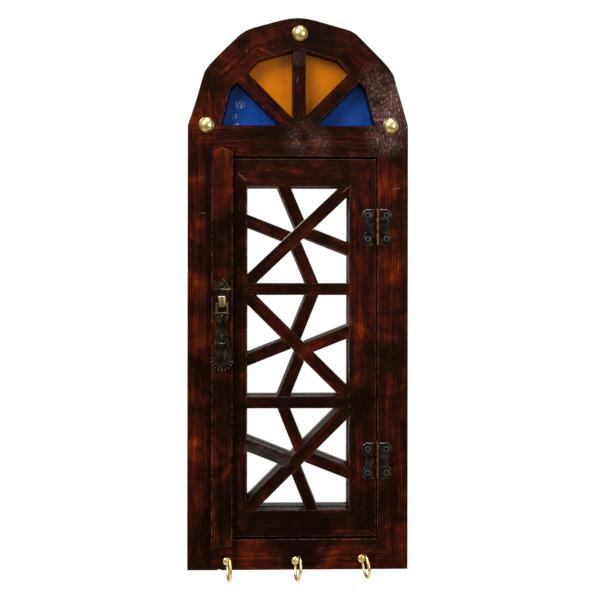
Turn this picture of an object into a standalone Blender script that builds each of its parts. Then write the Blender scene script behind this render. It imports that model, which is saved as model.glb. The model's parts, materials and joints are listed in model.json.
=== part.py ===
"""Wall-hung wooden key cabinet: mitred frame, six-piece arched top with a painted fanlight,
a hinged lattice door over a mirror, a drop pull, and three cup hooks under the door.

X runs to the right and Z up, and the front faces -Y. The back of the cabinet lies in the plane
Y = 0, and the origin is the middle of its back. Inside the cabinet's empty, heights are counted
from the bottom edge.
"""
import math

import bmesh
import bpy
from mathutils import Matrix, Vector

MM = 0.001
GAP = 0.3 * MM                   # glue line or play left between pieces that touch

# Carcase
WIDTH = 200 * MM
HEIGHT = 500 * MM
DEPTH = 50 * MM
FRAME_W = 28 * MM                # face width of the stiles, the bottom rail and the header
ARCH_W = 30 * MM                 # face width of the arch, measured along its joints
ARCH_ANGLES = (0, 28.8, 59.3, 90)    # directions of the arch joints from the arch centre
APEX_ROUND = 56 * MM             # sanded corners of the arch
CORNER_ROUND = 22 * MM
BACK_T = 4 * MM
BACK_INSET = 1.5 * MM

# Fanlight
PANE_RECESS = 15 * MM
PANE_T = 3 * MM
BACKING_T = 3 * MM
CENTRE_SPOKE_W = 11.8 * MM
CENTRE_SPOKE_X = 1 * MM
SIDE_SPOKE_W = 12.4 * MM
SIDE_SPOKE_FOOT = 7 * MM         # where a side spoke's centre line meets the header
SIDE_SPOKE_ANGLE = 45

# Door
DOOR_PLAY_X = 1 * MM
DOOR_PLAY_Z = 2.1 * MM
DOOR_T = 18 * MM
DOOR_STILE_W = 24.6 * MM
DOOR_TOP_W = 24.8 * MM
DOOR_BOTTOM_W = 24.1 * MM
MUNTIN_W = 10.7 * MM
MUNTIN_HEIGHTS = (0.332, 0.682)  # muntin centres as shares of the opening's height
BAR_W = 10.7 * MM                # short bars of the lattice
LONG_BAR_W = 11.6 * MM
BAR_SPREAD = 12.8 * MM           # how far off the middle a short bar meets the panel's edge
BAR_AIM = 4 * MM                 # how far off the middle a short bar meets the long one
BAR_STEP = 0.3 * MM              # short bars lie this much below the long bar's faces
BAR_SINK = 1 * MM                # how far a short bar runs into the long one
MIRROR_T = 3 * MM
BACKER_T = 2 * MM
BACKER_LAP = 6 * MM

# Cover strip on the door's free edge
STRIP_W = 19 * MM
STRIP_T = 7 * MM
STRIP_LAP_X = 7 * MM             # lap over the frame's stile
STRIP_LAP_BOTTOM = 7 * MM
STRIP_LAP_TOP = 5 * MM
STRIP_POINT = 5.2 * MM
STRIP_EDGE = 0.8 * MM            # chamfer

# Drop pull
PULL_RISE = 39.6 * MM            # from the door's middle up to the bar the drop swings on
PULL_SPAN = 82.4 * MM              # crown to shell
PLATE_T = 1.6 * MM
LOOP_W = 6 * MM
LOOP_D = 5 * MM
LOOP_H = 10 * MM
LOOP_T = 1.2 * MM
BAIL_R = 0.9 * MM
BAIL_SIDE = 0.6 * MM             # play between the loop and each arm of the bail
BAIL_ARM_W = 2.2 * MM
BAIL_LAP = 0.7 * MM              # how far the arms rise past the bar
BAIL_SINK = 1 * MM               # how far the arms run down into the drop
DROP_T = 2.6 * MM
DROP_LEAD = 0.3 * MM             # the drop lies this far in front of its bar, so it hangs shut
PULL_EDGE = 0.3 * MM             # chamfer

# Hinges
HINGE_W = 26.8 * MM
HINGE_WAIST = 3.4 * MM           # how far the leaves' ends curve in at mid height
HINGE_H = 32.5 * MM
HINGE_FROM_TOP = 61.8 * MM       # door's top edge to the middle of the upper hinge
HINGE_FROM_BOTTOM = 68.6 * MM
LEAF_T = 1 * MM
LEAF_WRAP = 1.2 * MM             # how far a leaf's tabs reach past the knuckles
KNUCKLE_R = 1.8 * MM
KNUCKLE_BORE_R = 1.1 * MM
PIN_R = 0.8 * MM
KNUCKLES = 5
SCREW_DX = 8.55 * MM
SCREW_DZ = 10.6 * MM
SCREW_R = 2.8 * MM
SCREW_H = 1 * MM
PIN_HEAD_H = 0.9 * MM
WELD = 0.05 * MM                 # step that keeps joined solids' faces apart

# Dome nails and cup hooks
NAIL_R = 7.5 * MM
NAIL_H = 4.6 * MM
NAIL_RIM = 0.5 * MM
NAIL_INSETS = {"left": 17 * MM, "right": 16 * MM}    # from the cabinet's sides
TOP_NAIL = (1.5 * MM, 14.6 * MM)                     # right of the middle, down from the apex
HOOK_WIRE_R = 1.3 * MM
HOOK_LOOP_R = 10.4 * MM
HOOK_OUT = 12.1 * MM             # from the frame's face to the loop's centre
HOOK_DROP = 3.5 * MM             # from the flange's centre down to the loop's centre
HOOK_TURN = 300                  # degrees of loop
HOOK_YAW = 10
FLANGE_R = 3.8 * MM
FLANGE_T = 1.3 * MM
FLANGE_RIM = 0.5 * MM
HOOK_INSETS = {"left": 36 * MM, "right": 42 * MM}    # from the cabinet's sides
CENTRE_HOOK_X = -2 * MM
HOOK_HEIGHTS = {"left": 8.4 * MM, "centre": 8.4 * MM, "right": 10 * MM}
HOOK_LEANS = {"left": 0, "centre": -6, "right": 7}   # degrees that a loop leans to the right

# Inside
RACK_MARGIN = 18 * MM            # from the inside of a stile to the end of a key rack
RACK_H = 12 * MM
RACK_T = 1.5 * MM
RACK_END = 12 * MM               # from the end of a key rack to its first hook
RACK_HOOKS = 4
RACK_REACH = 12 * MM
RACK_TIP = 7 * MM
RACK_BEND = 2.5 * MM
RACK_WIRE_R = 1.1 * MM
RACK_DROPS = {"upper": 50 * MM, "lower": 176 * MM}    # below the header
HANGER_MARGIN = 20 * MM          # from the inside of a stile to the middle of its hanger plate
HANGER_W = 20 * MM
HANGER_H = 26 * MM
HANGER_T = 1.2 * MM
KEYHOLE_R = 4.6 * MM
KEYHOLE_SLOT_W = 4.6 * MM
KEYHOLE_RISE = 9 * MM
KEYHOLE_ROOM = 1 * MM            # how much wider the back panel's slots are all round
CUT_PAST = 2 * MM                # how far a cutter reaches past what it cuts
CATCH_SIZE = (11 * MM, 11 * MM, 34 * MM)
CATCH_EDGE = 0.8 * MM            # chamfer
STRIKE_SIZE = (12 * MM, 1 * MM, 24 * MM)
STRIKE_INSET = 3 * MM            # from the inside of the left stile

FINISHES = {     # colour, metallic, roughness
    "stained_wood": ((0.100, 0.020, 0.008), 0.0, 0.35),
    "amber_paint": ((0.780, 0.270, 0.012), 0.0, 0.15),
    "blue_paint": ((0.010, 0.085, 0.320), 0.0, 0.15),
    "mirror_glass": ((0.930, 0.940, 0.940), 1.0, 0.03),
    "hardboard": ((0.130, 0.065, 0.030), 0.0, 0.80),
    "polished_brass": ((0.880, 0.640, 0.270), 1.0, 0.15),
    "antique_bronze": ((0.055, 0.045, 0.036), 1.0, 0.40),
    "zinc_steel": ((0.560, 0.570, 0.580), 1.0, 0.35),
    "brown_plastic": ((0.060, 0.030, 0.018), 0.0, 0.45),
}

# Sizes that follow from the ones above
FRONT = -DEPTH
CARCASE_BACK = -BACK_T - GAP
INSIDE_X = WIDTH / 2 - FRAME_W
DOOR_X = INSIDE_X - DOOR_PLAY_X
RACK_L = 2 * (INSIDE_X - RACK_MARGIN)
RACK_PITCH = (RACK_L - 2 * RACK_END) / (RACK_HOOKS - 1)
HANGER_X = INSIDE_X - HANGER_MARGIN
DOOR_BACK = FRONT + DOOR_T
LATTICE_BACK = DOOR_BACK - MIRROR_T - GAP
PIN_X = INSIDE_X - DOOR_PLAY_X / 2
PIN_Y = FRONT - GAP - KNUCKLE_R


def corner_sag(radius, turn):
    """How far rounding a corner of this turn (radians) pulls its tip in."""
    return radius * (1 / math.cos(turn / 2) - 1)


def polar(radius, degrees, centre=(0.0, 0.0)):
    angle = math.radians(degrees)
    return (centre[0] + radius * math.cos(angle), centre[1] + radius * math.sin(angle))


APEX_TURN = math.radians(180 - ARCH_ANGLES[2] - 90)
SPRING = HEIGHT - WIDTH / 2 + corner_sag(APEX_ROUND, APEX_TURN)    # height of the arch's feet
DOOR_BOTTOM = FRAME_W + DOOR_PLAY_Z
DOOR_TOP = SPRING - FRAME_W - DOOR_PLAY_Z
OPEN_X = DOOR_X - DOOR_STILE_W
OPEN_BOTTOM = DOOR_BOTTOM + DOOR_BOTTOM_W
OPEN_TOP = DOOR_TOP - DOOR_TOP_W


# ---------------------------------------------------------------- outlines in the XZ plane

def clip(outline, point, normal):
    """The part of a convex outline on the side of a line that the normal points to."""
    def side(p):
        return (p[0] - point[0]) * normal[0] + (p[1] - point[1]) * normal[1]

    kept = []
    for a, b in zip(outline, outline[1:] + outline[:1]):
        sa, sb = side(a), side(b)
        if sa >= 0:
            kept.append(a)
        if sa * sb < 0:
            t = sa / (sa - sb)
            kept.append((a[0] + (b[0] - a[0]) * t, a[1] + (b[1] - a[1]) * t))
    return kept


def shrink(outline, insets):
    """Move each side of an anticlockwise convex outline inwards by its own inset."""
    result = list(outline)
    for (a, b), inset in zip(zip(outline, outline[1:] + outline[:1]), insets):
        if not inset:
            continue
        along = Vector((b[0] - a[0], b[1] - a[1])).normalized()
        inward = (-along.y, along.x)
        result = clip(result, (a[0] + inward[0] * inset, a[1] + inward[1] * inset), inward)
    return result


def rectangle(x0, x1, z0, z1):
    return [(x0, z0), (x1, z0), (x1, z1), (x0, z1)]


def strip(start, end, width, past_start=0.0, past_end=0.0):
    """Anticlockwise outline of a straight bar between two points."""
    a, b = Vector(start), Vector(end)
    along = (b - a).normalized()
    a, b = a - along * past_start, b + along * past_end
    across = Vector((-along.y, along.x)) * (width / 2)
    return [tuple(p) for p in (a - across, b - across, b + across, a + across)]


def rounded_corner(before, corner, after, radius, steps):
    """Points of the arc that rounds a convex corner."""
    to_before = (Vector(before) - Vector(corner)).normalized()
    to_after = (Vector(after) - Vector(corner)).normalized()
    half = to_before.angle(to_after) / 2
    centre = Vector(corner) + (to_before + to_after).normalized() * (radius / math.sin(half))
    start = (Vector(corner) + to_before * (radius / math.tan(half)) - centre) / radius
    end = (Vector(corner) + to_after * (radius / math.tan(half)) - centre) / radius
    return [tuple(centre + start.slerp(end, i / steps) * radius) for i in range(steps + 1)]


def arch_points(radius):
    """Corners of the arch from the right foot over the apex to the left foot."""
    angles = list(ARCH_ANGLES) + [180 - a for a in reversed(ARCH_ANGLES[:-1])]
    return [polar(radius, a, (0, SPRING)) for a in angles]


def rounded_arch(steps):
    """The arch's outer edge, as one list of points for each of its six segments."""
    corners = arch_points(WIDTH / 2)
    arcs = {}
    for i in range(1, len(corners) - 1):
        radius = APEX_ROUND if i == 3 else CORNER_ROUND
        arcs[i] = rounded_corner(corners[i - 1], corners[i], corners[i + 1], radius, 2 * steps)
    segments = []
    for i in range(len(corners) - 1):
        start = arcs[i][steps:] if i in arcs else [corners[i]]
        end = arcs[i + 1][:steps + 1] if i + 1 in arcs else [corners[i + 1]]
        segments.append(start + end)
    return segments


# ---------------------------------------------------------------- solids

def new_object(name, bm):
    bmesh.ops.recalc_face_normals(bm, faces=bm.faces)
    mesh = bpy.data.meshes.new(name)
    bm.to_mesh(mesh)
    bm.free()
    obj = bpy.data.objects.new(name, mesh)
    bpy.context.collection.objects.link(obj)
    return obj


def board(name, outline, front, back):
    """A flat board: an outline in X and Z, cut through from one depth to another."""
    bm = bmesh.new()
    face = bm.faces.new([bm.verts.new((x, front, z)) for x, z in outline])
    grown = bmesh.ops.extrude_face_region(bm, geom=[face])["geom"]
    moved = [v for v in grown if isinstance(v, bmesh.types.BMVert)]
    bmesh.ops.translate(bm, verts=moved, vec=(0, back - front, 0))
    return new_object(name, bm)


def block(name, x0, x1, y0, y1, z0, z1):
    return board(name, rectangle(x0, x1, z0, z1), y0, y1)


def turned(name, profile, sides):
    """A solid turned about the Y axis; the profile lists (radius, forward) from centre to back."""
    bm = bmesh.new()
    rings = []
    for radius, forward in profile:
        count = 1 if radius == 0 else sides
        rings.append([bm.verts.new((radius * math.cos(i * math.tau / sides), -forward,
                                    radius * math.sin(i * math.tau / sides)))
                      for i in range(count)])
    for a, b in zip(rings, rings[1:]):
        for i in range(sides):
            j = (i + 1) % sides
            quad = [a[i % len(a)], a[j % len(a)], b[j % len(b)], b[i % len(b)]]
            bm.faces.new(list(dict.fromkeys(quad)))
    return smooth(new_object(name, bm))


def rod(name, path, radius, sides, tip=0.5):
    """A round rod along a path in a plane of constant X; its last ring shrinks to the tip."""
    bm = bmesh.new()
    rings = []
    across = Vector((1, 0, 0))
    for i, point in enumerate(path):
        here = Vector(point)
        before, after = Vector(path[max(i - 1, 0)]), Vector(path[min(i + 1, len(path) - 1)])
        along = (after - before).normalized()
        other = along.cross(across)
        size = radius * (tip if i == len(path) - 1 else 1)
        rings.append([bm.verts.new(here + size * (across * math.cos(k * math.tau / sides)
                                                  + other * math.sin(k * math.tau / sides)))
                      for k in range(sides)])
    for a, b in zip(rings, rings[1:]):
        for k in range(sides):
            m = (k + 1) % sides
            bm.faces.new([a[k], a[m], b[m], b[k]])
    bm.faces.new(rings[0])
    bm.faces.new(rings[-1])
    return smooth(new_object(name, bm))


def smooth(obj):
    obj.data.shade_smooth()
    obj.data.set_sharp_from_angle(angle=math.radians(35))
    return obj


def combine(base, tool, operation):
    """Join a second solid to a first, or cut it away, and drop the second."""
    modifier = base.modifiers.new(operation.lower(), "BOOLEAN")
    modifier.operation = operation
    modifier.object = tool
    evaluated = base.evaluated_get(bpy.context.evaluated_depsgraph_get())
    mesh = bpy.data.meshes.new_from_object(evaluated)
    base.modifiers.remove(modifier)
    base.data = mesh
    bpy.data.objects.remove(tool, do_unlink=True)
    return base


def soften(obj, width):
    bevel = obj.modifiers.new("edges", "BEVEL")
    bevel.width = width
    bevel.segments = 1
    bevel.limit_method = "ANGLE"
    bevel.angle_limit = math.radians(40)
    return obj


def place(obj, finish, parent, location=(0, 0, 0), rotation=(0, 0, 0)):
    """Give a piece its finish, and hang it under its body's empty.

    The location is in the cabinet's own coordinates."""
    colour, metallic, roughness = FINISHES[finish]
    material = bpy.data.materials.new(obj.name + "_" + finish)
    material.use_nodes = True
    shader = material.node_tree.nodes["Principled BSDF"]
    shader.inputs["Base Color"].default_value = (*colour, 1)
    shader.inputs["Metallic"].default_value = metallic
    shader.inputs["Roughness"].default_value = roughness
    material.diffuse_color = (*colour, 1)
    obj.data.materials.clear()
    obj.data.materials.append(material)
    obj.parent = parent
    obj.location = Vector(location) - Vector(PARENT_ORIGINS[parent.name])
    obj.rotation_euler = rotation
    return obj


# ---------------------------------------------------------------- the cabinet

def build_frame(cabinet):
    """Rectangular frame with mitred corners, and the six mitred segments of the arch."""
    outer = rectangle(-WIDTH / 2, WIDTH / 2, 0, SPRING)
    inner = rectangle(-INSIDE_X, INSIDE_X, FRAME_W, SPRING - FRAME_W)
    names = ("rail_bottom", "stile_right", "rail_header", "stile_left")
    for i, name in enumerate(names):
        j = (i + 1) % 4
        outline = shrink([outer[i], outer[j], inner[j], inner[i]], (0, GAP / 2, 0, GAP / 2))
        place(board(name, outline, FRONT, CARCASE_BACK), "stained_wood", cabinet)

    inner_arch = arch_points(WIDTH / 2 - ARCH_W)
    for i, outer_points in enumerate(rounded_arch(2)):
        outline = outer_points + [inner_arch[i + 1], inner_arch[i]]
        insets = [0] * len(outline)
        insets[len(outer_points) - 1] = insets[-1] = GAP / 2
        if i in (0, 5):
            insets[-1 if i == 0 else len(outer_points) - 1] = GAP
        outline = shrink(outline, insets)
        place(board("arch_segment_%d" % (6 - i), outline, FRONT, CARCASE_BACK),
              "stained_wood", cabinet)


def side_spoke_line(side):
    """A point on a side spoke's centre line, and its direction."""
    angle = SIDE_SPOKE_ANGLE if side > 0 else 180 - SIDE_SPOKE_ANGLE
    return Vector((side * SIDE_SPOKE_FOOT, SPRING)), Vector(polar(1, angle))


def build_fanlight(cabinet):
    """Three spokes, two painted panes on each side of the middle, and the board behind them."""
    light = shrink(arch_points(WIDTH / 2 - ARCH_W), [GAP] * 7)
    back = FRONT + PANE_RECESS + PANE_T
    spoke_x = (CENTRE_SPOKE_X - CENTRE_SPOKE_W / 2, CENTRE_SPOKE_X + CENTRE_SPOKE_W / 2)
    centre = clip(clip(light, (spoke_x[0], 0), (1, 0)), (spoke_x[1], 0), (-1, 0))
    place(board("fan_spoke_centre", centre, FRONT, back), "stained_wood", cabinet)

    for side, word in ((-1, "left"), (1, "right")):
        foot, along = side_spoke_line(side)
        across = Vector((-along.y, along.x)) * side    # towards the middle
        half = SIDE_SPOKE_W / 2
        beside = ((CENTRE_SPOKE_X + side * (CENTRE_SPOKE_W / 2 + GAP), 0), (side, 0))
        outline = clip(light, *beside)
        amber = clip(outline, foot + across * (half + GAP), across)
        blue = clip(outline, foot - across * (half + GAP), -across)
        spoke = clip(clip(outline, foot + across * half, -across), foot - across * half, across)
        place(board("fan_spoke_" + word, spoke, FRONT, back), "stained_wood", cabinet)
        for colour, outline in (("amber", amber), ("blue", blue)):
            pane = board("pane_%s_%s" % (colour, word), outline, FRONT + PANE_RECESS, back)
            place(pane, colour + "_paint", cabinet)

    place(board("fan_backing", light, back + GAP, back + GAP + BACKING_T), "hardboard", cabinet)


def keyhole(name, grow):
    """Cutter for a hanging slot: a round entry with a narrow slot above it."""
    radius, half = KEYHOLE_R + grow, KEYHOLE_SLOT_W / 2 + grow
    start = math.degrees(math.acos(half / radius))
    outline = [polar(radius, 180 - start + (180 + 2 * start) * i / 14) for i in range(15)]
    outline += [polar(half, 180 * i / 6, (0, KEYHOLE_RISE)) for i in range(7)]
    return board(name, outline, -BACK_T - HANGER_T - CUT_PAST, CUT_PAST)


def build_back(cabinet):
    """Back panel with two hanging slots, and the steel plates that take the wall screws."""
    outline = [(WIDTH / 2, 0)]
    for points in rounded_arch(1):
        outline += points
    outline = list(dict.fromkeys(outline + [(-WIDTH / 2, 0)]))
    outline = shrink(outline, [BACK_INSET] * len(outline))
    panel = board("back_panel", outline, -BACK_T, 0)
    height = SPRING - FRAME_W - HANGER_H
    for side, word in ((-1, "left"), (1, "right")):
        cutter = keyhole("cutter", KEYHOLE_ROOM)
        cutter.location = (side * HANGER_X, 0, height)
        combine(panel, cutter, "DIFFERENCE")
        plate = block("hanger_plate_" + word, -HANGER_W / 2, HANGER_W / 2,
                      CARCASE_BACK - HANGER_T, CARCASE_BACK,
                      KEYHOLE_RISE / 2 - HANGER_H / 2, KEYHOLE_RISE / 2 + HANGER_H / 2)
        combine(plate, keyhole("cutter", 0), "DIFFERENCE")
        place(plate, "zinc_steel", cabinet, (side * HANGER_X, 0, height))
    place(panel, "hardboard", cabinet)


def build_racks(cabinet):
    """Two key racks: a steel strip with hooks bent up at their ends."""
    back = CARCASE_BACK - RACK_T
    for word, drop in RACK_DROPS.items():
        rack = block("key_rack_" + word, -RACK_L / 2, RACK_L / 2, back, CARCASE_BACK,
                     -RACK_H / 2, RACK_H / 2)
        for i in range(RACK_HOOKS):
            x = (i - (RACK_HOOKS - 1) / 2) * RACK_PITCH
            path = [(x, back + RACK_T / 2, 0), (x, back - RACK_REACH + RACK_BEND, 0)]
            path += [(x, back - RACK_REACH + RACK_BEND * (1 - math.sin(a)),
                      RACK_BEND * (1 - math.cos(a))) for a in (math.pi / 6, math.pi / 3)]
            path += [(x, back - RACK_REACH, RACK_BEND), (x, back - RACK_REACH, RACK_TIP)]
            combine(rack, rod("hook", path, RACK_WIRE_R, 8), "UNION")
        place(rack, "polished_brass", cabinet, (0, 0, SPRING - FRAME_W - drop))


def build_catch(cabinet, door):
    """Magnetic catch on the left stile, and its strike plate on the door's back."""
    width, depth, height = CATCH_SIZE
    strike_w, strike_t, strike_h = STRIKE_SIZE
    middle = (OPEN_BOTTOM + OPEN_TOP) / 2
    left = -INSIDE_X
    front = DOOR_BACK + GAP
    strike = block("catch_strike", left + STRIKE_INSET, left + STRIKE_INSET + strike_w,
                   front, front + strike_t, -strike_h / 2, strike_h / 2)
    place(strike, "zinc_steel", door, (0, 0, middle))
    catch = block("magnet_catch", left + GAP, left + GAP + width,
                  front + strike_t + GAP, front + strike_t + GAP + depth,
                  -height / 2, height / 2)
    place(soften(catch, CATCH_EDGE), "brown_plastic", cabinet, (0, 0, middle))


def build_nails(cabinet):
    """Dome-headed brass nails at the apex and at the feet of the arch."""
    profile = [(0, NAIL_H)]
    ball = (NAIL_R ** 2 + NAIL_H ** 2) / (2 * NAIL_H)
    for i in range(1, 5):
        radius = NAIL_R * math.sin(i / 5 * math.pi / 2)
        profile.append((radius, NAIL_H - ball + math.sqrt(ball ** 2 - radius ** 2)))
    profile += [(NAIL_R, NAIL_RIM), (NAIL_R, 0), (0, 0)]
    places = {"top": (TOP_NAIL[0], HEIGHT - TOP_NAIL[1]),
              "left": (-WIDTH / 2 + NAIL_INSETS["left"], SPRING),
              "right": (WIDTH / 2 - NAIL_INSETS["right"], SPRING)}
    for word, (x, z) in places.items():
        nail = turned("dome_nail_" + word, profile, 20)
        place(nail, "polished_brass", cabinet, (x, FRONT - GAP, z))


def build_hooks(cabinet):
    """Cup hooks: a round flange, and wire bent from its middle round an open loop."""
    start = math.degrees(math.asin(HOOK_DROP / HOOK_LOOP_R))
    places = {"left": -WIDTH / 2 + HOOK_INSETS["left"], "centre": CENTRE_HOOK_X,
              "right": WIDTH / 2 - HOOK_INSETS["right"]}
    for word, x in places.items():
        flange = [(0, FLANGE_T), (FLANGE_R * 0.7, FLANGE_T), (FLANGE_R, FLANGE_RIM),
                  (FLANGE_R, 0), (0, 0)]
        hook = turned("hook_" + word, flange, 16)
        path = [(0, -FLANGE_T / 2, 0)]
        for i in range(23):
            y, z = polar(HOOK_LOOP_R, start - HOOK_TURN * i / 22)
            path.append((0, y - HOOK_OUT + GAP, z - HOOK_DROP))
        combine(hook, rod("wire", path, HOOK_WIRE_R, 8), "UNION")
        turn = Matrix.Rotation(math.radians(HOOK_YAW), 4, "Z")
        turn = turn @ Matrix.Rotation(math.radians(-HOOK_LEANS[word]), 4, "Y")
        hook.data.transform(turn)
        location = (x, FRONT - GAP, HOOK_HEIGHTS[word])
        place(flatten_back(hook), "polished_brass", cabinet, location)


def flatten_back(obj):
    """Cut a turned piece back to the plane Y = 0, where it lies on the frame."""
    reach = 2 * (HOOK_OUT + HOOK_LOOP_R)
    return combine(obj, block("cutter", -reach, reach, 0, reach, -reach, reach), "DIFFERENCE")


# ---------------------------------------------------------------- hinges

def leaf_outline():
    """One leaf, from beside the knuckles outwards: two round lobes and a waist."""
    near, far = KNUCKLE_R + GAP, HINGE_W / 2
    lobe = (far - SCREW_DX, HINGE_H / 2 - SCREW_DZ)
    half = [(near, HINGE_H / 2)]
    for i in range(7):
        x, z = polar(1, 90 - 140 * i / 6)
        half.append((SCREW_DX + lobe[0] * x, SCREW_DZ + lobe[1] * z))
    half.append((far - HINGE_WAIST, HINGE_H / 11))
    return [(x, -z) for x, z in half] + half[::-1]


def knuckle(name, z0, z1):
    """A short tube round the pin, between two heights."""
    bm = bmesh.new()
    rings = []
    for radius, z in ((KNUCKLE_R, z0), (KNUCKLE_R, z1), (KNUCKLE_BORE_R, z1),
                      (KNUCKLE_BORE_R, z0)):
        rings.append([bm.verts.new((*polar(radius, 30 * i), z)) for i in range(12)])
    for a, b in zip(rings, rings[1:] + rings[:1]):
        for i in range(12):
            j = (i + 1) % 12
            bm.faces.new([a[i], a[j], b[j], b[i]])
    return smooth(new_object(name, bm))


def build_hinge(word, height, cabinet, door):
    """Butterfly hinge: knuckles shared in turn between the leaves, a pin, and four screws."""
    at = (PIN_X, PIN_Y, height)
    step = HINGE_H / KNUCKLES
    for side, body, group, first in ((1, "frame", cabinet, 0), (-1, "door", door, 1)):
        outline = leaf_outline() if side > 0 else [(-x, z) for x, z in leaf_outline()[::-1]]
        leaf = board("hinge_%s_%s_leaf" % (word, body), outline, KNUCKLE_R - LEAF_T, KNUCKLE_R)
        for i in range(first, KNUCKLES, 2):
            z0 = -HINGE_H / 2 + i * step + (GAP / 2 if i else 0)
            z1 = -HINGE_H / 2 + (i + 1) * step - (GAP / 2 if i < KNUCKLES - 1 else 0)
            inner, outer = (KNUCKLE_BORE_R + KNUCKLE_R) / 2, KNUCKLE_R + LEAF_WRAP
            if side < 0:
                inner, outer = -outer, -inner
            tab = block("tab", inner, outer, KNUCKLE_R - LEAF_T + WELD, KNUCKLE_R - WELD,
                        z0 + WELD, z1 - WELD)
            combine(tab, knuckle("knuckle", z0, z1), "UNION")
            combine(leaf, tab, "UNION")
        place(leaf, "antique_bronze", group, at)
        for level, dz in (("low", -SCREW_DZ), ("high", SCREW_DZ)):
            screw = build_screw("screw_%s_%s_%s" % (word, body, level))
            place(screw, "antique_bronze", group,
                  (PIN_X + side * SCREW_DX, FRONT - 2 * GAP - LEAF_T, height + dz))
    pin = knuckle_pin("hinge_%s_pin" % word)
    place(pin, "antique_bronze", cabinet, at)


def knuckle_pin(name):
    """The hinge pin, with a thin head resting above the top knuckle."""
    half = HINGE_H / 2
    low, high, head_r = half + GAP, half + GAP + PIN_HEAD_H, KNUCKLE_R * 0.8
    profile = [(0, high), (head_r, high), (head_r, low), (PIN_R, low), (PIN_R, -half),
               (0, -half)]
    pin = turned(name, profile, 12)
    pin.data.transform(Matrix.Rotation(math.radians(-90), 4, "X"))
    return pin


def build_screw(name):
    """Low round screw head with a cross recess."""
    head = turned(name, [(0, SCREW_H), (SCREW_R * 0.6, SCREW_H * 0.93),
                         (SCREW_R, SCREW_H * 0.45), (SCREW_R, 0), (0, 0)], 16)
    long, thin = SCREW_R * 0.55, SCREW_R * 0.14
    depth = (-SCREW_H * 1.5, -SCREW_H * 0.45)
    cross = block("cross", -long, long, *depth, -thin, thin)
    combine(cross, block("arm", -thin, thin, depth[0], depth[1] - WELD, -long, long), "UNION")
    return combine(head, cross, "DIFFERENCE")


# ---------------------------------------------------------------- the door

def build_door_frame(door):
    """Mitred stiles and rails of the door, the muntins, and the mirror in its opening."""
    outer = rectangle(-DOOR_X, DOOR_X, DOOR_BOTTOM, DOOR_TOP)
    inner = rectangle(-OPEN_X, OPEN_X, OPEN_BOTTOM, OPEN_TOP)
    names = ("door_rail_bottom", "door_stile_hinge", "door_rail_top", "door_stile_latch")
    for i, name in enumerate(names):
        j = (i + 1) % 4
        outline = shrink([outer[i], outer[j], inner[j], inner[i]], (0, GAP / 2, 0, GAP / 2))
        door_board(name, outline, FRONT, DOOR_BACK, "stained_wood", door)

    for word, share in zip(("lower", "upper"), MUNTIN_HEIGHTS):
        z = OPEN_BOTTOM + share * (OPEN_TOP - OPEN_BOTTOM)
        outline = rectangle(-OPEN_X + GAP, OPEN_X - GAP, z - MUNTIN_W / 2, z + MUNTIN_W / 2)
        door_board("muntin_" + word, outline, FRONT, LATTICE_BACK, "stained_wood", door)

    glass = shrink(inner, [GAP] * 4)
    door_board("mirror", glass, LATTICE_BACK + GAP, DOOR_BACK, "mirror_glass", door)
    backer = rectangle(-OPEN_X - BACKER_LAP, OPEN_X + BACKER_LAP,
                       OPEN_BOTTOM - BACKER_LAP, OPEN_TOP + BACKER_LAP)
    front = DOOR_BACK + GAP
    door_board("mirror_backer", backer, front, front + BACKER_T, "hardboard", door)


def door_board(name, outline, front, back, finish, door):
    """A board of the door, drawn about the hinge line so that the door's origin is its axis."""
    local = [(x - PIN_X, z) for x, z in outline]
    return place(board(name, local, front - PIN_Y, back - PIN_Y), finish, door,
                 (PIN_X, PIN_Y, 0))


def build_star(name, z0, z1, flip, door):
    """Lattice of one door panel: a long bar corner to corner, and four short bars against it.

    The short bars come in two pairs, each turned half round the panel's middle. A flipped
    panel is upside down."""
    half_x, half_z = OPEN_X - GAP, (z1 - z0) / 2 - GAP
    panel = rectangle(-half_x, half_x, -half_z, half_z)
    slope = half_z / half_x
    along = Vector((half_x, half_z)).normalized()
    normal = Vector((-along.y, along.x))
    reach = 2 * BAR_W

    bars = [strip((-half_x, -half_z), (half_x, half_z), LONG_BAR_W, reach, reach)]
    for turn in (1, -1):
        for start, end in (((-BAR_SPREAD, half_z), (BAR_AIM, BAR_AIM * slope)),
                           ((-half_x, BAR_SPREAD), (-BAR_AIM, -BAR_AIM * slope))):
            start, end = Vector(start) * turn, Vector(end) * turn
            edge = normal * turn * (LONG_BAR_W / 2 - BAR_SINK)
            bars.append(clip(strip(start, end, BAR_W, reach, reach), edge, normal * turn))

    star = None
    for i, outline in enumerate(bars):
        for k in range(4):
            a, b = panel[k], panel[(k + 1) % 4]
            outline = clip(outline, a, (a[1] - b[1], b[0] - a[0]))
        if flip:
            outline = [(x, -z) for x, z in outline]
        step = BAR_STEP if i else 0
        local = [(x - PIN_X, z + (z0 + z1) / 2) for x, z in outline]
        bar = board(name if star is None else "bar", local,
                    FRONT - PIN_Y + step, LATTICE_BACK - PIN_Y - step)
        star = bar if star is None else combine(star, bar, "UNION")
    place(star, "stained_wood", door, (PIN_X, PIN_Y, 0))


def build_lattice(door):
    height = OPEN_TOP - OPEN_BOTTOM
    low, high = [OPEN_BOTTOM + share * height for share in MUNTIN_HEIGHTS]
    half = MUNTIN_W / 2
    build_star("lattice_star_lower", OPEN_BOTTOM, low - half, False, door)
    build_star("lattice_star_middle", low + half, high - half, True, door)
    build_star("lattice_star_upper", high + half, OPEN_TOP, False, door)


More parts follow.
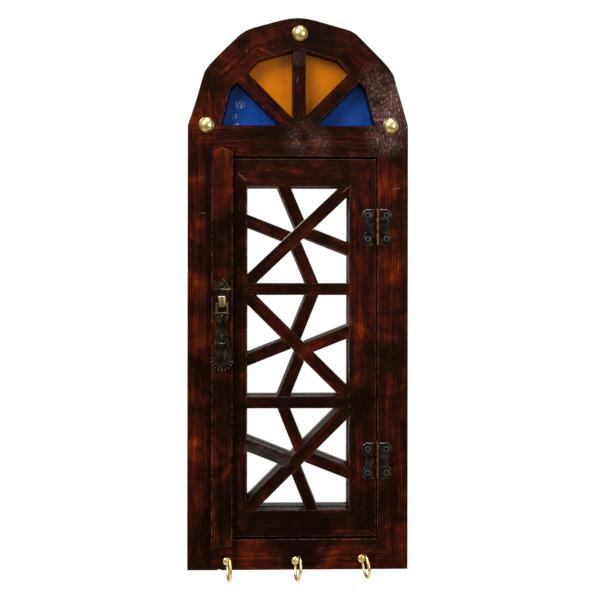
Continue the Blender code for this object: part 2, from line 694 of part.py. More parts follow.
def build_strip(door):
    """Pointed cover strip on the door's free edge, lapping over the frame all along it."""
    left = -DOOR_X - STRIP_LAP_X
    right = left + STRIP_W
    bottom, shoulder = DOOR_BOTTOM - STRIP_LAP_BOTTOM, DOOR_TOP + STRIP_LAP_TOP
    outline = [(left, bottom), (right, bottom), (right, shoulder),
               ((left + right) / 2, shoulder + STRIP_POINT), (left, shoulder)]
    cover = door_board("cover_strip", outline, FRONT - GAP - STRIP_T, FRONT - GAP,
                       "stained_wood", door)
    soften(cover, STRIP_EDGE)


# ---------------------------------------------------------------- the drop pull

# Half outlines, right of the middle and up from the bar the drop swings on, in millimetres
PLATE_HALF = ((0, 22.5), (2.6, 21.9), (4.6, 19.6), (6.2, 16.6), (7.8, 14.0), (6.9, 12.6),
              (6.2, 9.4), (6.9, 6.9), (6.6, 2.4), (6.0, -2.6), (6.4, -6.6), (5.2, -10.1),
              (3.0, -13.1), (0, -14.2))
DROP_HALF = ((3.0, -5.6), (6.6, -6.4), (7.2, -9.0), (6.2, -12.0), (4.5, -14.4), (4.1, -17.6),
             (4.7, -24.6), (5.6, -30.6), (6.6, -36.1), (8.1, -41.1), (9.3, -45.3))
SHELL_Z, SHELL_R, SHELL_LOBE_H, SHELL_LOBES = -49.7, 10.2, 1.2, 9
OUTLINE_SPAN = 82.4  # crown to shell in the outlines' own units


def build_pull(door, pull):
    """Back plate and brass loop on the strip, and the drop that hangs from the loop."""
    x = PARENT_ORIGINS["pull"][0]
    z = PARENT_ORIGINS["pull"][2]
    scale = PULL_SPAN / OUTLINE_SPAN
    face = FRONT - GAP - STRIP_T

    right = [(px * scale, pz * scale) for px, pz in PLATE_HALF]
    outline = right + [(-px, pz) for px, pz in right[-2:0:-1]]
    plate = board("pull_backplate", outline, -PLATE_T, 0)
    place(soften(plate, PULL_EDGE), "antique_bronze", door, (x, face - GAP, z))

    eye_bottom = -BAIL_R - GAP
    loop = block("pull_loop", -LOOP_W / 2, LOOP_W / 2, -LOOP_D / 2, LOOP_D / 2,
                 eye_bottom - LOOP_T, eye_bottom - LOOP_T + LOOP_H)
    eye = block("cutter", -LOOP_W, LOOP_W, -LOOP_D / 2 + LOOP_T, LOOP_D / 2 - LOOP_T,
                eye_bottom, eye_bottom + LOOP_H - 2 * LOOP_T)
    combine(loop, eye, "DIFFERENCE")
    place(soften(loop, PULL_EDGE), "polished_brass", door, PARENT_ORIGINS["pull"])

    right = [(px * scale, pz * scale) for px, pz in DROP_HALF]
    shell = []
    points = 4 * SHELL_LOBES
    for i in range(points + 1):
        swell = abs(math.sin(SHELL_LOBES * math.pi * i / points))
        radius = SHELL_R - SHELL_LOBE_H * (1 - swell)
        shell.append(polar(radius * scale, -180 * i / points, (0, SHELL_Z * scale)))
    outline = right + shell + [(-px, pz) for px, pz in right[::-1]]
    front = -DROP_T / 2 - DROP_LEAD
    drop = board("pull_drop", outline, front, front + DROP_T)
    inner = LOOP_W / 2 + BAIL_SIDE
    outer = inner + BAIL_ARM_W
    for side in (-1, 1):
        low, high = sorted((side * inner, side * outer))
        arm = block("arm", low, high, front + 2 * WELD, front + DROP_T - 2 * WELD,
                    right[1][1] - BAIL_SINK, BAIL_R + BAIL_LAP)
        combine(drop, arm, "UNION")
    reach = (inner + outer) / 2
    bar = rod("bar", [(0, 0, -reach), (0, 0, reach)], BAIL_R, 10, 1)
    bar.data.transform(Matrix.Rotation(math.radians(90), 4, "Y"))
    combine(drop, bar, "UNION")
    place(drop, "antique_bronze", pull, PARENT_ORIGINS["pull"])


# ---------------------------------------------------------------- assembly

STRIP_MIDDLE = -DOOR_X - STRIP_LAP_X + STRIP_W / 2
LOOP_Y = FRONT - GAP - STRIP_T - GAP - PLATE_T - GAP - LOOP_D / 2
PARENT_ORIGINS = {
    "cabinet": (0, 0, 0),
    "door": (PIN_X, PIN_Y, 0),
    "pull": (STRIP_MIDDLE, LOOP_Y, (DOOR_BOTTOM + DOOR_TOP) / 2 + PULL_RISE),
}


def new_empty(name, parent):
    empty = bpy.data.objects.new(name, None)
    empty.empty_display_size = 0.02
    bpy.context.collection.objects.link(empty)
    empty.parent = parent
    if parent:
        empty.location = Vector(PARENT_ORIGINS[name]) - Vector(PARENT_ORIGINS[parent.name])
    else:
        empty.location = (0, 0, -HEIGHT / 2)
    return empty


def main():
    for obj in list(bpy.data.objects):
        bpy.data.objects.remove(obj, do_unlink=True)
    cabinet = new_empty("cabinet", None)
    door = new_empty("door", cabinet)
    pull = new_empty("pull", door)

    build_frame(cabinet)
    build_fanlight(cabinet)
    build_back(cabinet)
    build_racks(cabinet)
    build_catch(cabinet, door)
    build_nails(cabinet)
    build_hooks(cabinet)
    build_door_frame(door)
    build_lattice(door)
    build_strip(door)
    build_hinge("upper", DOOR_TOP - HINGE_FROM_TOP, cabinet, door)
    build_hinge("lower", DOOR_BOTTOM + HINGE_FROM_BOTTOM, cabinet, door)
    build_pull(door, pull)


main()
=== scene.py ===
"""Looks of a wall-hung wooden key cabinet: stained pine boards, painted fanlight, lattice over a
mirror, antique bronze hinges and drop pull, polished brass nails and cup hooks."""
import json
import math
import random

import bmesh
import bpy
import numpy as np
from mathutils import Matrix, Vector, noise
from mathutils.bvhtree import BVHTree


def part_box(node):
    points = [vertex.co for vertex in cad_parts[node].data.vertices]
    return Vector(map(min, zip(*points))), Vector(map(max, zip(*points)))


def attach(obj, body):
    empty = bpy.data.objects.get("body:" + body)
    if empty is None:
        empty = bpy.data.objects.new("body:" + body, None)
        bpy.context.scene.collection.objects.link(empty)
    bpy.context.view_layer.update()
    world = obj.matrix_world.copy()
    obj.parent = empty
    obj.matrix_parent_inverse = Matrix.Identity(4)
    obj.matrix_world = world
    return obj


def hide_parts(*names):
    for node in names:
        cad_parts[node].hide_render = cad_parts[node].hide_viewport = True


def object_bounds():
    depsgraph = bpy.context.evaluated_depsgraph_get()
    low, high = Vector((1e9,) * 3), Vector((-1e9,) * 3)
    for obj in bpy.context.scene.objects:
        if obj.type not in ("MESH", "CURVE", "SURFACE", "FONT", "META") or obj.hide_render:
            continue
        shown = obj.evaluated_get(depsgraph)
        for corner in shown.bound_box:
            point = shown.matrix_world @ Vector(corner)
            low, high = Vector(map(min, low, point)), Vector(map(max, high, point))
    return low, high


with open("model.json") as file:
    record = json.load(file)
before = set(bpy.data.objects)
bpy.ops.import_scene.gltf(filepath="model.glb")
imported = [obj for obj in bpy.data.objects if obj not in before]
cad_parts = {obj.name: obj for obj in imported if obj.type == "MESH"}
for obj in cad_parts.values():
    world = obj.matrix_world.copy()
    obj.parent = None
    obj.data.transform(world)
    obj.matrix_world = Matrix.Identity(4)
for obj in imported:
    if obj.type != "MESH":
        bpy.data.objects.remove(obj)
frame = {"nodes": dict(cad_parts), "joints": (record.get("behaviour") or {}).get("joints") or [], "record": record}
cad_box = [list(corner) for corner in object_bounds()]

MM = 0.001
GAP = 0.3 * MM                # play that the frame leaves between pieces that touch
NODES = frame["nodes"]
BODY_OF = {node: body for body, nodes in frame["record"]["behaviour"]["bodies"].items()
           for node in nodes}
JOINT_AT = {joint["name"]: Vector(joint["pos_m"]) for joint in frame["joints"]}
CABINET_TOP = cad_box[1][2]
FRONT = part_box("stile_left")[0].y
STAIN_SEED = 7


# ---------------------------------------------------------------- nodes and colours

def linear(code):
    """Linear colour of an sRGB hex value."""
    parts = (int(code[i:i + 2], 16) / 255 for i in (1, 3, 5))
    return (*(p / 12.92 if p <= 0.04045 else ((p + 0.055) / 1.055) ** 2.4 for p in parts), 1)


def plug(node, inputs):
    """Set a node's inputs to values, to sockets or to other nodes, which give their first
    output. A list holds what a socket joins."""
    for socket, value in dict(inputs).items():
        for item in value if isinstance(value, list) else [value]:
            if isinstance(item, bpy.types.Node):
                item = item.outputs[0]
            if isinstance(item, bpy.types.NodeSocket):
                node.id_data.links.new(item, node.inputs[socket])
            else:
                node.inputs[socket].default_value = item


def add(tree, kind, inputs=(), stops=(), **settings):
    """Add a node with its settings and links; stops fill a colour ramp."""
    node = tree.nodes.new(kind)
    for name, value in settings.items():
        setattr(node, name, value)
    plug(node, inputs)
    for i, (position, colour) in enumerate(stops):
        ramp = node.color_ramp.elements
        stop = ramp[i] if i < len(ramp) else ramp.new(position)
        stop.position = position
        stop.color = linear(colour)
    return node


def new_material(name, **settings):
    """A material with a Principled shader; settings are constants of its sockets."""
    material = bpy.data.materials.new(name)
    material.use_nodes = True
    tree = material.node_tree
    shader = tree.nodes["Principled BSDF"]
    plug(shader, {socket.replace("_", " "): value for socket, value in settings.items()})
    return material, tree, shader


def surface(shader, colour, rough=None, height=None, strength=0.5, depth=0.1):
    """Give a shader its colour and, where they vary, its roughness and its fine relief, whose
    depth is in millimetres."""
    plug(shader, {"Base Color": colour})
    if rough is not None:
        plug(shader, {"Roughness": rough})
    if height is not None:
        relief = add(shader.id_data, "ShaderNodeBump",
                     {"Height": height, "Strength": strength, "Distance": depth * MM})
        plug(shader, {"Normal": relief})


def spots(tree, place, marks, spread):
    """A mask round some points of the cabinet's face: (x, z, radius) in millimetres, and how
    strong it is there when that isn't 1."""
    mask = None
    for x, z, radius, *strength in marks:
        flat = add(tree, "ShaderNodeVectorMath", {0: place, 1: (1, 0, 1)}, operation="MULTIPLY")
        away = add(tree, "ShaderNodeVectorMath",
                   {0: flat, 1: (x * MM, 0, z * MM)}, operation="DISTANCE")
        near = add(tree, "ShaderNodeMapRange",
                   {"Value": away.outputs["Value"], "From Min": radius * MM * (1 + spread),
                    "From Max": radius * MM * (1 - spread), "To Max": (strength or [1.0])[0]},
                   interpolation_type="SMOOTHSTEP")
        if mask is None:
            mask = near
        else:
            mask = add(tree, "ShaderNodeMath", {0: mask, 1: near}, operation="MAXIMUM")
    return mask


def strokes(tree, place, lines):
    """A mask along some straight scratches: (x, z) of both ends, and width, in millimetres."""
    mask = None
    for x0, z0, x1, z1, width in lines:
        span = Vector((x1 - x0, z1 - z0)) * MM
        middle = (-(x0 + x1) / 2 * MM, 0, -(z0 + z1) / 2 * MM)
        moved = add(tree, "ShaderNodeVectorMath", {0: place, 1: middle}, operation="ADD")
        turned_to = add(tree, "ShaderNodeMapping",
                        {"Vector": moved,
                         "Rotation": (0, math.atan2(span.y, span.x), 0)})
        # The rotated point, measured in half lengths and half widths of the scratch
        sized = add(tree, "ShaderNodeVectorMath",
                    {0: turned_to,
                     1: (2 / span.length, 0, 2 / (width * MM))}, operation="MULTIPLY")
        away = add(tree, "ShaderNodeVectorMath", {0: sized}, operation="LENGTH")
        near = add(tree, "ShaderNodeMapRange", {"Value": away.outputs["Value"],
                                                "From Min": 1.1, "From Max": 0.6})
        if mask is None:
            mask = near
        else:
            mask = add(tree, "ShaderNodeMath", {0: mask, 1: near}, operation="MAXIMUM")
    return mask


# Where the stain took thinly and shows orange, and where the face is scuffed grey
THIN_STAIN = ((-66, 206, 16), (-30, 210, 17), (-86, 152, 18), (-92, 100, 17), (-92, 60, 18),
              (-92, 10, 18), (-91, -40, 18), (-92, -90, 18), (-92, -140, 18), (-91, -190, 16),
              (-68, -152, 4), (-40, -238, 20), (40, -238, 20), (-60, 132, 14), (84, 100, 12),
              (92, 20, 12), (56, -30, 10), (-69, 86, 12))
SCUFFED = ((4, 139, 13, 0.36), (17, 136, 11, 0.36), (84, 176, 16), (83, 160, 16), (80, 143, 13),
           (71, 194, 11, 0.7), (1, 213, 5, 0.6))
# Darker patches of stain; the ones at x −53, just right of the cover strip, are painted shadow of the strip
DARK_PATCHES = ((-60, 60, 14), (0, -208, 24), (-30, -204, 14), (2, 128, 8), (-60, -120, 14),
                (88, 196, 12), (-84, 196, 14), (60, -200, 16), (92, -60, 14), (-45, 30, 14),
                (20, 226, 14), (-53, -60, 12), (-53, 0, 12), (-53, -180, 12), (-68, -190, 16),
                (-68, -90, 12), (58, -100, 12), (-20, 138, 10), (0, -99, 16))
# Single marks: pale scratches, and thin orange streaks where the brush left the wood bare
SCRATCHES = ((-55.6, 110.9, -46.3, 101.6, 0.45), (40.1, 91.8, 47.1, 98.1, 0.4),
             (-88, 72.7, -83, 72.7, 0.4), (86, 95, 93, 95.6, 0.3), (-1, 196, -1, 192, 0.4),
             (85, 178, 83.6, 166, 0.35), (81, 170, 80.4, 161, 0.3), (88, 168, 87.4, 158, 0.3),
             (79, 154, 79.6, 147, 0.3))
STREAKS = ((-68, 200, -61, 207, 2.2), (-72, 198, -66, 202, 1.2), (-46, 214, -49, 224, 1.4),
           (-40, 222, -22, 217, 1.3), (-30, 208, -16, 211, 0.9), (57, -215, 64, -215.3, 0.9),
           (-55, -214, -42, -212.5, 1.1), (-38, 108, -24, 113, 1.0), (-20, 112, -8, 113.5, 0.8),
           (-45, 108.5, -38, 109, 1.0), (-82, 186, -80, 172, 2.0),
           (-78.4, -20, -78.4, -54, 1.1), (-60.3, -22, -60.6, -42, 1.0))
GREYED = ((-43, -141, 6), (-35, -143.5, 6), (-27, -146.5, 6), (-19, -149.5, 6), (-12, -152, 5))


def bent_place(tree, place):
    """Positions pushed up to 1.5 mm aside, so that drawn marks come out crooked."""
    wave = add(tree, "ShaderNodeTexNoise", {"Vector": place, "Scale": 150, "Detail": 3})
    push = add(tree, "ShaderNodeVectorMath",
               {0: wave.outputs["Color"], 1: (0.5, 0.5, 0.5)}, operation="SUBTRACT")
    push = add(tree, "ShaderNodeVectorMath", {0: push, 1: (5 * MM, 0, 5 * MM)}, operation="MULTIPLY")
    return add(tree, "ShaderNodeVectorMath", {0: place, 1: push}, operation="ADD")


def stained_pine():
    """Pine brushed with dark mahogany stain and a thin varnish, rubbed by hand: the streaks run
    along each board, latewood lines stay dark, and arrises are worn to a paler red."""
    material, tree, shader = new_material("stained_pine", IOR=1.5, Specular_IOR_Level=0.24,
                                          Specular_Tint=linear("#c07a58"))
    grain = add(tree, "ShaderNodeAttribute", attribute_name="grain").outputs["Vector"]
    wear = add(tree, "ShaderNodeAttribute", attribute_name="wear").outputs["Fac"]
    place = add(tree, "ShaderNodeTexCoord").outputs["Object"]

    # Low bends of the grain, 60 mm long, push the year lines up to 4 mm sideways
    bend = add(tree, "ShaderNodeMapping", {"Vector": grain, "Scale": (16, 26, 26)})
    bend = add(tree, "ShaderNodeTexNoise", {"Vector": bend, "Scale": 1, "Detail": 2})
    push = add(tree, "ShaderNodeVectorMath",
               {0: bend.outputs["Color"], 1: (0, 8 * MM, 8 * MM)}, operation="MULTIPLY")
    bent = add(tree, "ShaderNodeVectorMath", {0: grain, 1: push}, operation="ADD")

    # Year lines 2.2 mm apart; a wave texture repeats every tau/20 of its scaled coordinate
    years = add(tree, "ShaderNodeTexWave", {"Vector": bent, "Scale": math.tau / 20 / (2.2 * MM),
                                            "Distortion": 3.5, "Detail": 3, "Detail Scale": 0.8},
                wave_type="BANDS", bands_direction="Y", wave_profile="SAW")
    layers = []
    # (streak length, streak width) in millimetres, detail, roughness, share of the tone
    for length, width, detail, rough, share in ((60, 1.1, 4, 0.65, 0.46), (14, 0.45, 2, 0.5, 0.20),
                                                (130, 6, 2, 0.5, 0.40)):
        stretched = add(tree, "ShaderNodeMapping",
                        {"Vector": bent, "Scale": (1000 / length, 1000 / width, 1000 / width)})
        streak = add(tree, "ShaderNodeTexNoise", {"Vector": stretched, "Scale": 1, "Detail": detail,
                                                  "Roughness": rough})
        layers.append((streak, share))
    blotch = add(tree, "ShaderNodeTexNoise",
                 {"Vector": place, "Scale": 34, "Detail": 4, "Roughness": 0.6, "Distortion": 1.6})
    layers.append((blotch, 0.46))
    layers.append((years.outputs["Fac"], -0.06))
    # Takes off the middle of the noises above, so that the shares only widen the spread
    layers.append((1.0, -0.205))
    layers.append((spots(tree, place, THIN_STAIN, 0.9), 0.10))
    layers.append((spots(tree, place, DARK_PATCHES, 0.9), -0.12))
    # Painted shadow of the cover strip: darker over the nearest 5 mm of the door on either side of it, below its
    # top
    across = add(tree, "ShaderNodeSeparateXYZ", {"Vector": place})
    low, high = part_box("cover_strip")
    away = add(tree, "ShaderNodeMath", {0: across.outputs["X"], 1: (low.x + high.x) / 2},
               operation="SUBTRACT")
    away = add(tree, "ShaderNodeMath", {0: away}, operation="ABSOLUTE")
    half = (high.x - low.x) / 2
    strip_shadow = add(tree, "ShaderNodeMapRange", {"Value": away, "From Min": half + 6 * MM,
                                              "From Max": half + 1 * MM})
    beside = add(tree, "ShaderNodeMath", {0: away, 1: half + 0.2 * MM}, operation="GREATER_THAN")
    strip_shadow = add(tree, "ShaderNodeMath", {0: strip_shadow, 1: beside}, operation="MULTIPLY")
    below = add(tree, "ShaderNodeMath", {0: across.outputs["Z"], 1: high.z}, operation="LESS_THAN")
    strip_shadow = add(tree, "ShaderNodeMath", {0: strip_shadow, 1: below}, operation="MULTIPLY")
    layers.append((strip_shadow, -0.14))
    layers.append((strokes(tree, bent_place(tree, place), STREAKS), 0.14))
    tone = None
    for value, share in layers:
        if tone is None:
            tone = add(tree, "ShaderNodeMath", {0: value, 1: share}, operation="MULTIPLY")
        else:
            tone = add(tree, "ShaderNodeMath", {0: value, 1: share, 2: tone}, operation="MULTIPLY_ADD")
    colour = add(tree, "ShaderNodeValToRGB", {"Fac": tone},
                 stops=((0.40, "#060203"), (0.50, "#120504"), (0.59, "#2a0a04"),
                        (0.67, "#4a1405"), (0.77, "#762807"), (0.90, "#a84c12")))

    # One lattice bar gone grey, with its grain showing
    grey_grain = add(tree, "ShaderNodeMapRange",
                     {"Value": layers[1][0], "From Min": 0.35, "From Max": 0.65})
    greyed = add(tree, "ShaderNodeValToRGB", {"Fac": grey_grain},
                 stops=((0.3, "#0d0b0b"), (0.7, "#39302d")))
    grey_place = spots(tree, place, GREYED, 0.3)
    colour = add(tree, "ShaderNodeMixRGB", {"Fac": grey_place, "Color1": colour, "Color2": greyed})

    # Arrises rubbed to a paler red where the stain wore off, broken up along the edge
    crumbs = add(tree, "ShaderNodeTexNoise",
                 {"Vector": place, "Scale": 240, "Detail": 4, "Roughness": 0.7})
    edge = add(tree, "ShaderNodeMapRange", {"Value": crumbs, "From Min": 0.46, "From Max": 0.62})
    edge = add(tree, "ShaderNodeMath", {0: edge, 1: wear}, operation="MULTIPLY")
    rubbed = add(tree, "ShaderNodeMixRGB", {"Fac": edge, "Color1": colour, "Color2": linear("#6e4438")})

    # A dull film over the scuffed places of the front, in patches 12 mm across
    front = add(tree, "ShaderNodeMapRange", {"Value": across.outputs["Y"],
                                             "From Min": FRONT + 8 * MM, "From Max": FRONT + 2 * MM})
    where = add(tree, "ShaderNodeMath", {0: front, 1: spots(tree, place, SCUFFED, 0.8)},
                operation="MULTIPLY")
    patchy = add(tree, "ShaderNodeTexNoise", {"Vector": place, "Scale": 85, "Detail": 4,
                                              "Roughness": 0.65})
    patchy = add(tree, "ShaderNodeMapRange", {"Value": patchy, "From Min": 0.32, "From Max": 0.66})
    patchy = add(tree, "ShaderNodeMath", {0: patchy, 1: where}, operation="MULTIPLY")
    film = add(tree, "ShaderNodeMath", {0: patchy, 1: 0.34}, operation="MULTIPLY")
    rubbed = add(tree, "ShaderNodeMixRGB", {"Fac": film, "Color1": rubbed, "Color2": linear("#7a4a42")})

    # Grey scuffs: specks about 1 mm across and 3 mm tall inside those patches
    tall = add(tree, "ShaderNodeMapping", {"Vector": place, "Scale": (900, 900, 320)})
    specks = add(tree, "ShaderNodeTexNoise",
                 {"Vector": tall, "Scale": 1, "Detail": 5, "Roughness": 0.75})
    scuff = add(tree, "ShaderNodeMapRange", {"Value": specks, "From Min": 0.53, "From Max": 0.68})
    scuff = add(tree, "ShaderNodeMath", {0: scuff, 1: patchy}, operation="MULTIPLY")
    scuffed = add(tree, "ShaderNodeMixRGB", {"Fac": scuff, "Color1": rubbed,
                                             "Color2": linear("#c8c3c4")})
    scored = add(tree, "ShaderNodeMath", {0: strokes(tree, bent_place(tree, place), SCRATCHES),
                                          1: front}, operation="MULTIPLY")
    scratched = add(tree, "ShaderNodeMixRGB", {"Fac": scored, "Color1": scuffed,
                                               "Color2": linear("#94786e")})
    gloss = add(tree, "ShaderNodeMapRange", {"Value": blotch, "From Min": 0.3, "From Max": 0.7,
                                             "To Min": 0.30, "To Max": 0.50})
    rough = add(tree, "ShaderNodeMath", {0: scuff, 1: 0.3, 2: gloss}, operation="MULTIPLY_ADD")
    height = add(tree, "ShaderNodeMath",
                 {0: years.outputs["Fac"], 1: 0.5, 2: layers[0][0]}, operation="MULTIPLY_ADD")
    height = add(tree, "ShaderNodeMath", {0: scuff, 1: 0.8, 2: height}, operation="MULTIPLY_ADD")
    surface(shader, scratched, rough, height, 0.5, 0.25)
    return material


def painted_glass(name, deep, main, pale, scratches):
    """Gloss enamel brushed on a small pane: brush marks 3 mm wide, an even shine, and a few
    scratches through to bare silver-grey."""
    material, tree, shader = new_material(name, IOR=1.5, Roughness=0.14, Specular_IOR_Level=0.12)
    place = add(tree, "ShaderNodeTexCoord").outputs["Object"]
    brushed = add(tree, "ShaderNodeMapping", {"Vector": place, "Scale": (330, 330, 40),
                                              "Rotation": (0, math.radians(12), 0)})
    brushed = add(tree, "ShaderNodeTexNoise", {"Vector": brushed, "Scale": 1, "Detail": 3})
    cloud = add(tree, "ShaderNodeTexNoise", {"Vector": place, "Scale": 38, "Detail": 2})
    tone = add(tree, "ShaderNodeMath", {0: brushed, 1: 0.35, 2: cloud}, operation="MULTIPLY_ADD")
    colour = add(tree, "ShaderNodeValToRGB", {"Fac": tone},
                 stops=((0.42, deep), (0.68, main), (0.95, pale)))
    # Scratches lie where a noise crosses its middle value, so they are thin crooked lines
    lines = add(tree, "ShaderNodeMapping", {"Vector": place, "Scale": (420, 420, 150),
                                            "Rotation": (0, math.radians(-24), 0)})
    lines = add(tree, "ShaderNodeTexNoise",
                {"Vector": lines, "Scale": 1, "Detail": 2, "Roughness": 0.6})
    lines = add(tree, "ShaderNodeMath", {0: lines, 1: 0.5, 2: 0.022}, operation="COMPARE")
    chips = add(tree, "ShaderNodeTexNoise", {"Vector": place, "Scale": 600, "Detail": 3})
    bare = add(tree, "ShaderNodeMapRange", {"Value": chips, "From Min": 0.42, "From Max": 0.52})
    bare = add(tree, "ShaderNodeMath", {0: bare, 1: lines}, operation="MULTIPLY")
    bare = add(tree, "ShaderNodeMath", {0: bare, 1: spots(tree, place, scratches, 0.3)},
               operation="MULTIPLY")
    final = add(tree, "ShaderNodeMixRGB", {"Fac": bare, "Color1": colour, "Color2": linear("#c8cac4")})
    surface(shader, final, None, brushed, 0.25)
    return material


def float_glass():
    """Plain float glass 3 mm thick: clear, with a faint film and sharp reflections."""
    material, tree, shader = new_material("float_glass", IOR=1.52, Roughness=0.0,
                                          Transmission_Weight=1.0)
    place = add(tree, "ShaderNodeTexCoord").outputs["Object"]
    film = add(tree, "ShaderNodeTexNoise", {"Vector": place, "Scale": 45, "Detail": 3})
    colour = add(tree, "ShaderNodeValToRGB", {"Fac": film},
                 stops=((0.35, "#fefefd"), (0.65, "#ffffff")))
    surface(shader, colour)
    return material


def silvering():
    """Silver film on the glass's back: a perfect mirror, with grey spots where it has tarnished."""
    material, tree, shader = new_material("silvering", Metallic=1.0, Roughness=0.0)
    place = add(tree, "ShaderNodeTexCoord").outputs["Object"]
    spots_of_age = add(tree, "ShaderNodeTexNoise",
                       {"Vector": place, "Scale": 160, "Detail": 4, "Roughness": 0.7})
    colour = add(tree, "ShaderNodeValToRGB", {"Fac": spots_of_age},
                 stops=((0.24, "#8f9894"), (0.30, "#fbfcfb"), (0.9, "#fdfdfd")))
    surface(shader, colour)
    return material


def polished_brass():
    """Brass, spun or drawn and buffed: pale gold, fine buffing lines, and brown where the
    tarnish attribute is high: tarnish, and a painted shade low on the dome nails."""
    material, tree, shader = new_material("polished_brass", Metallic=1.0)
    place = add(tree, "ShaderNodeTexCoord").outputs["Object"]
    brown = add(tree, "ShaderNodeAttribute", attribute_name="tarnish").outputs["Fac"]
    tarnish = add(tree, "ShaderNodeTexNoise", {"Vector": place, "Scale": 180, "Detail": 2})
    colour = add(tree, "ShaderNodeValToRGB", {"Fac": tarnish},
                 stops=((0.30, "#d0a252"), (0.46, "#e9cc82"), (0.62, "#f6e3a6")))
    colour = add(tree, "ShaderNodeMixRGB", {"Fac": brown, "Color1": colour,
                                            "Color2": linear("#7a4e16")})
    gloss = add(tree, "ShaderNodeMapRange", {"Value": tarnish, "From Min": 0.35, "From Max": 0.6,
                                             "To Min": 0.34, "To Max": 0.20})
    # Buffing lines are about 0.02 mm apart; they are drawn at 0.5 mm so that they show
    lines = add(tree, "ShaderNodeMapping", {"Vector": place, "Scale": (300, 300, 2000)})
    lines = add(tree, "ShaderNodeTexNoise", {"Vector": lines, "Scale": 1, "Detail": 2})
    surface(shader, colour, gloss, lines, 0.1, 0.03)
    return material


def antique_bronze(name, rubbed, reach, tones=("#0e0c0b", "#241f1d", "#48403c")):
    """Pressed or cast metal blackened and then rubbed: near-black brown in the hollows, with
    rubbed metal on rims and high spots, where the wear attribute is high; on the hinge leaves' upper edges more of
    it is a painted highlight."""
    material, tree, shader = new_material(name, Metallic=1.0)
    place = add(tree, "ShaderNodeTexCoord").outputs["Object"]
    wear = add(tree, "ShaderNodeAttribute", attribute_name="wear").outputs["Fac"]
    patches = add(tree, "ShaderNodeTexNoise",
                  {"Vector": place, "Scale": 260, "Detail": 4, "Roughness": 0.65})
    patina = add(tree, "ShaderNodeValToRGB", {"Fac": patches},
                 stops=tuple(zip((0.36, 0.54, 0.72), tones)))
    amount = add(tree, "ShaderNodeMath", {0: patches, 1: wear, 2: wear}, operation="MULTIPLY_ADD")
    amount = add(tree, "ShaderNodeMapRange", {"Value": amount, "From Min": 0.85 - reach,
                                              "From Max": 1.55 - reach})
    colour = add(tree, "ShaderNodeMixRGB", {"Fac": amount, "Color1": patina, "Color2": linear(rubbed)})
    gloss = add(tree, "ShaderNodeMapRange", {"Value": amount, "To Min": 0.48, "To Max": 0.24})
    grit = add(tree, "ShaderNodeTexNoise", {"Vector": place, "Scale": 1400, "Detail": 3})
    surface(shader, colour, gloss, grit)
    return material


def hardboard():
    """Pressed wood fibre: matt brown with fibres 1 to 4 mm long lying every way."""
    material, tree, shader = new_material("pressed_hardboard", IOR=1.45, Roughness=0.8)
    place = add(tree, "ShaderNodeTexCoord").outputs["Object"]
    fibres = None
    for angle in (0, 62, 121):
        lie = add(tree, "ShaderNodeMapping", {"Vector": place, "Scale": (250, 1400, 1400),
                                              "Rotation": (0, math.radians(angle), 0)})
        lie = add(tree, "ShaderNodeTexNoise",
                  {"Vector": lie, "Scale": 1, "Detail": 3, "Roughness": 0.6})
        if fibres is None:
            fibres = lie
        else:
            fibres = add(tree, "ShaderNodeMath", {0: fibres, 1: lie}, operation="MAXIMUM")
    colour = add(tree, "ShaderNodeValToRGB", {"Fac": fibres},
                 stops=((0.45, "#3c2415"), (0.60, "#5b3a22"), (0.78, "#7d5534")))
    surface(shader, colour, None, fibres, 0.6)
    return material


def zinc_plate():
    """Bright zinc on pressed steel: blue-grey spangle."""
    material, tree, shader = new_material("zinc_plated_steel", Metallic=1.0)
    place = add(tree, "ShaderNodeTexCoord").outputs["Object"]
    spangle = add(tree, "ShaderNodeTexVoronoi", {"Vector": place, "Scale": 420})
    colour = add(tree, "ShaderNodeValToRGB", {"Fac": spangle},
                 stops=((0.1, "#c9ccd0"), (0.6, "#a9adb3"), (0.95, "#8d9299")))
    gloss = add(tree, "ShaderNodeMapRange", {"Value": spangle, "To Min": 0.25, "To Max": 0.45})
    surface(shader, colour, gloss)
    return material


def moulded_plastic():
    """ABS moulded with a fine spark texture: dark brown, soft even sheen."""
    material, tree, shader = new_material("moulded_brown_abs", IOR=1.53, Roughness=0.42)
    place = add(tree, "ShaderNodeTexCoord").outputs["Object"]
    spark = add(tree, "ShaderNodeTexNoise", {"Vector": place, "Scale": 2200, "Detail": 2})
    colour = add(tree, "ShaderNodeValToRGB", {"Fac": spark},
                 stops=((0.35, "#241813"), (0.65, "#35251d")))
    surface(shader, colour, None, spark, 0.3, 0.05)
    return material


WOOD = stained_pine()
AMBER = painted_glass("amber_enamel", "#ba6200", "#ca6d00", "#d67800", ((21, 177, 1.6),))
BLUE = painted_glass("blue_enamel", "#0a367c", "#0d4090", "#154ca0",
                     ((-53, 173, 4.2), (-58, 162, 2.6), (-56, 155, 2.2), (66, 166, 1.4)))
GLASS = float_glass()
SILVER = silvering()
BRASS = polished_brass()
BRONZE = antique_bronze("antique_bronze", "#9c8f80", 0.0)
KNUCKLE_BRONZE = antique_bronze("copper_worn_bronze", "#9a6236", -0.12,
                                ("#140b07", "#3a1e10", "#7a4420"))
PULL_BRONZE = antique_bronze("brass_rubbed_bronze", "#ac9066", 0.24, ("#11100e", "#28221b", "#4a3b2a"))
BOARD = hardboard()
ZINC = zinc_plate()
PLASTIC = moulded_plastic()


# ---------------------------------------------------------------- meshes

def new_object(name, data):
    """Put a mesh, a lamp or a camera in the scene."""
    made = bpy.data.objects.new(name, data)
    bpy.context.scene.collection.objects.link(made)
    return made


def mesh_of(bm, name):
    mesh = bpy.data.meshes.new(name)
    bm.to_mesh(mesh)
    bm.free()
    return mesh


def apply_modifiers(piece):
    """Take off a piece's modifiers, and return the mesh that they made of it."""
    bpy.context.view_layer.update()
    evaluated = piece.evaluated_get(bpy.context.evaluated_depsgraph_get())
    mesh = bpy.data.meshes.new_from_object(evaluated)
    piece.modifiers.clear()
    return mesh


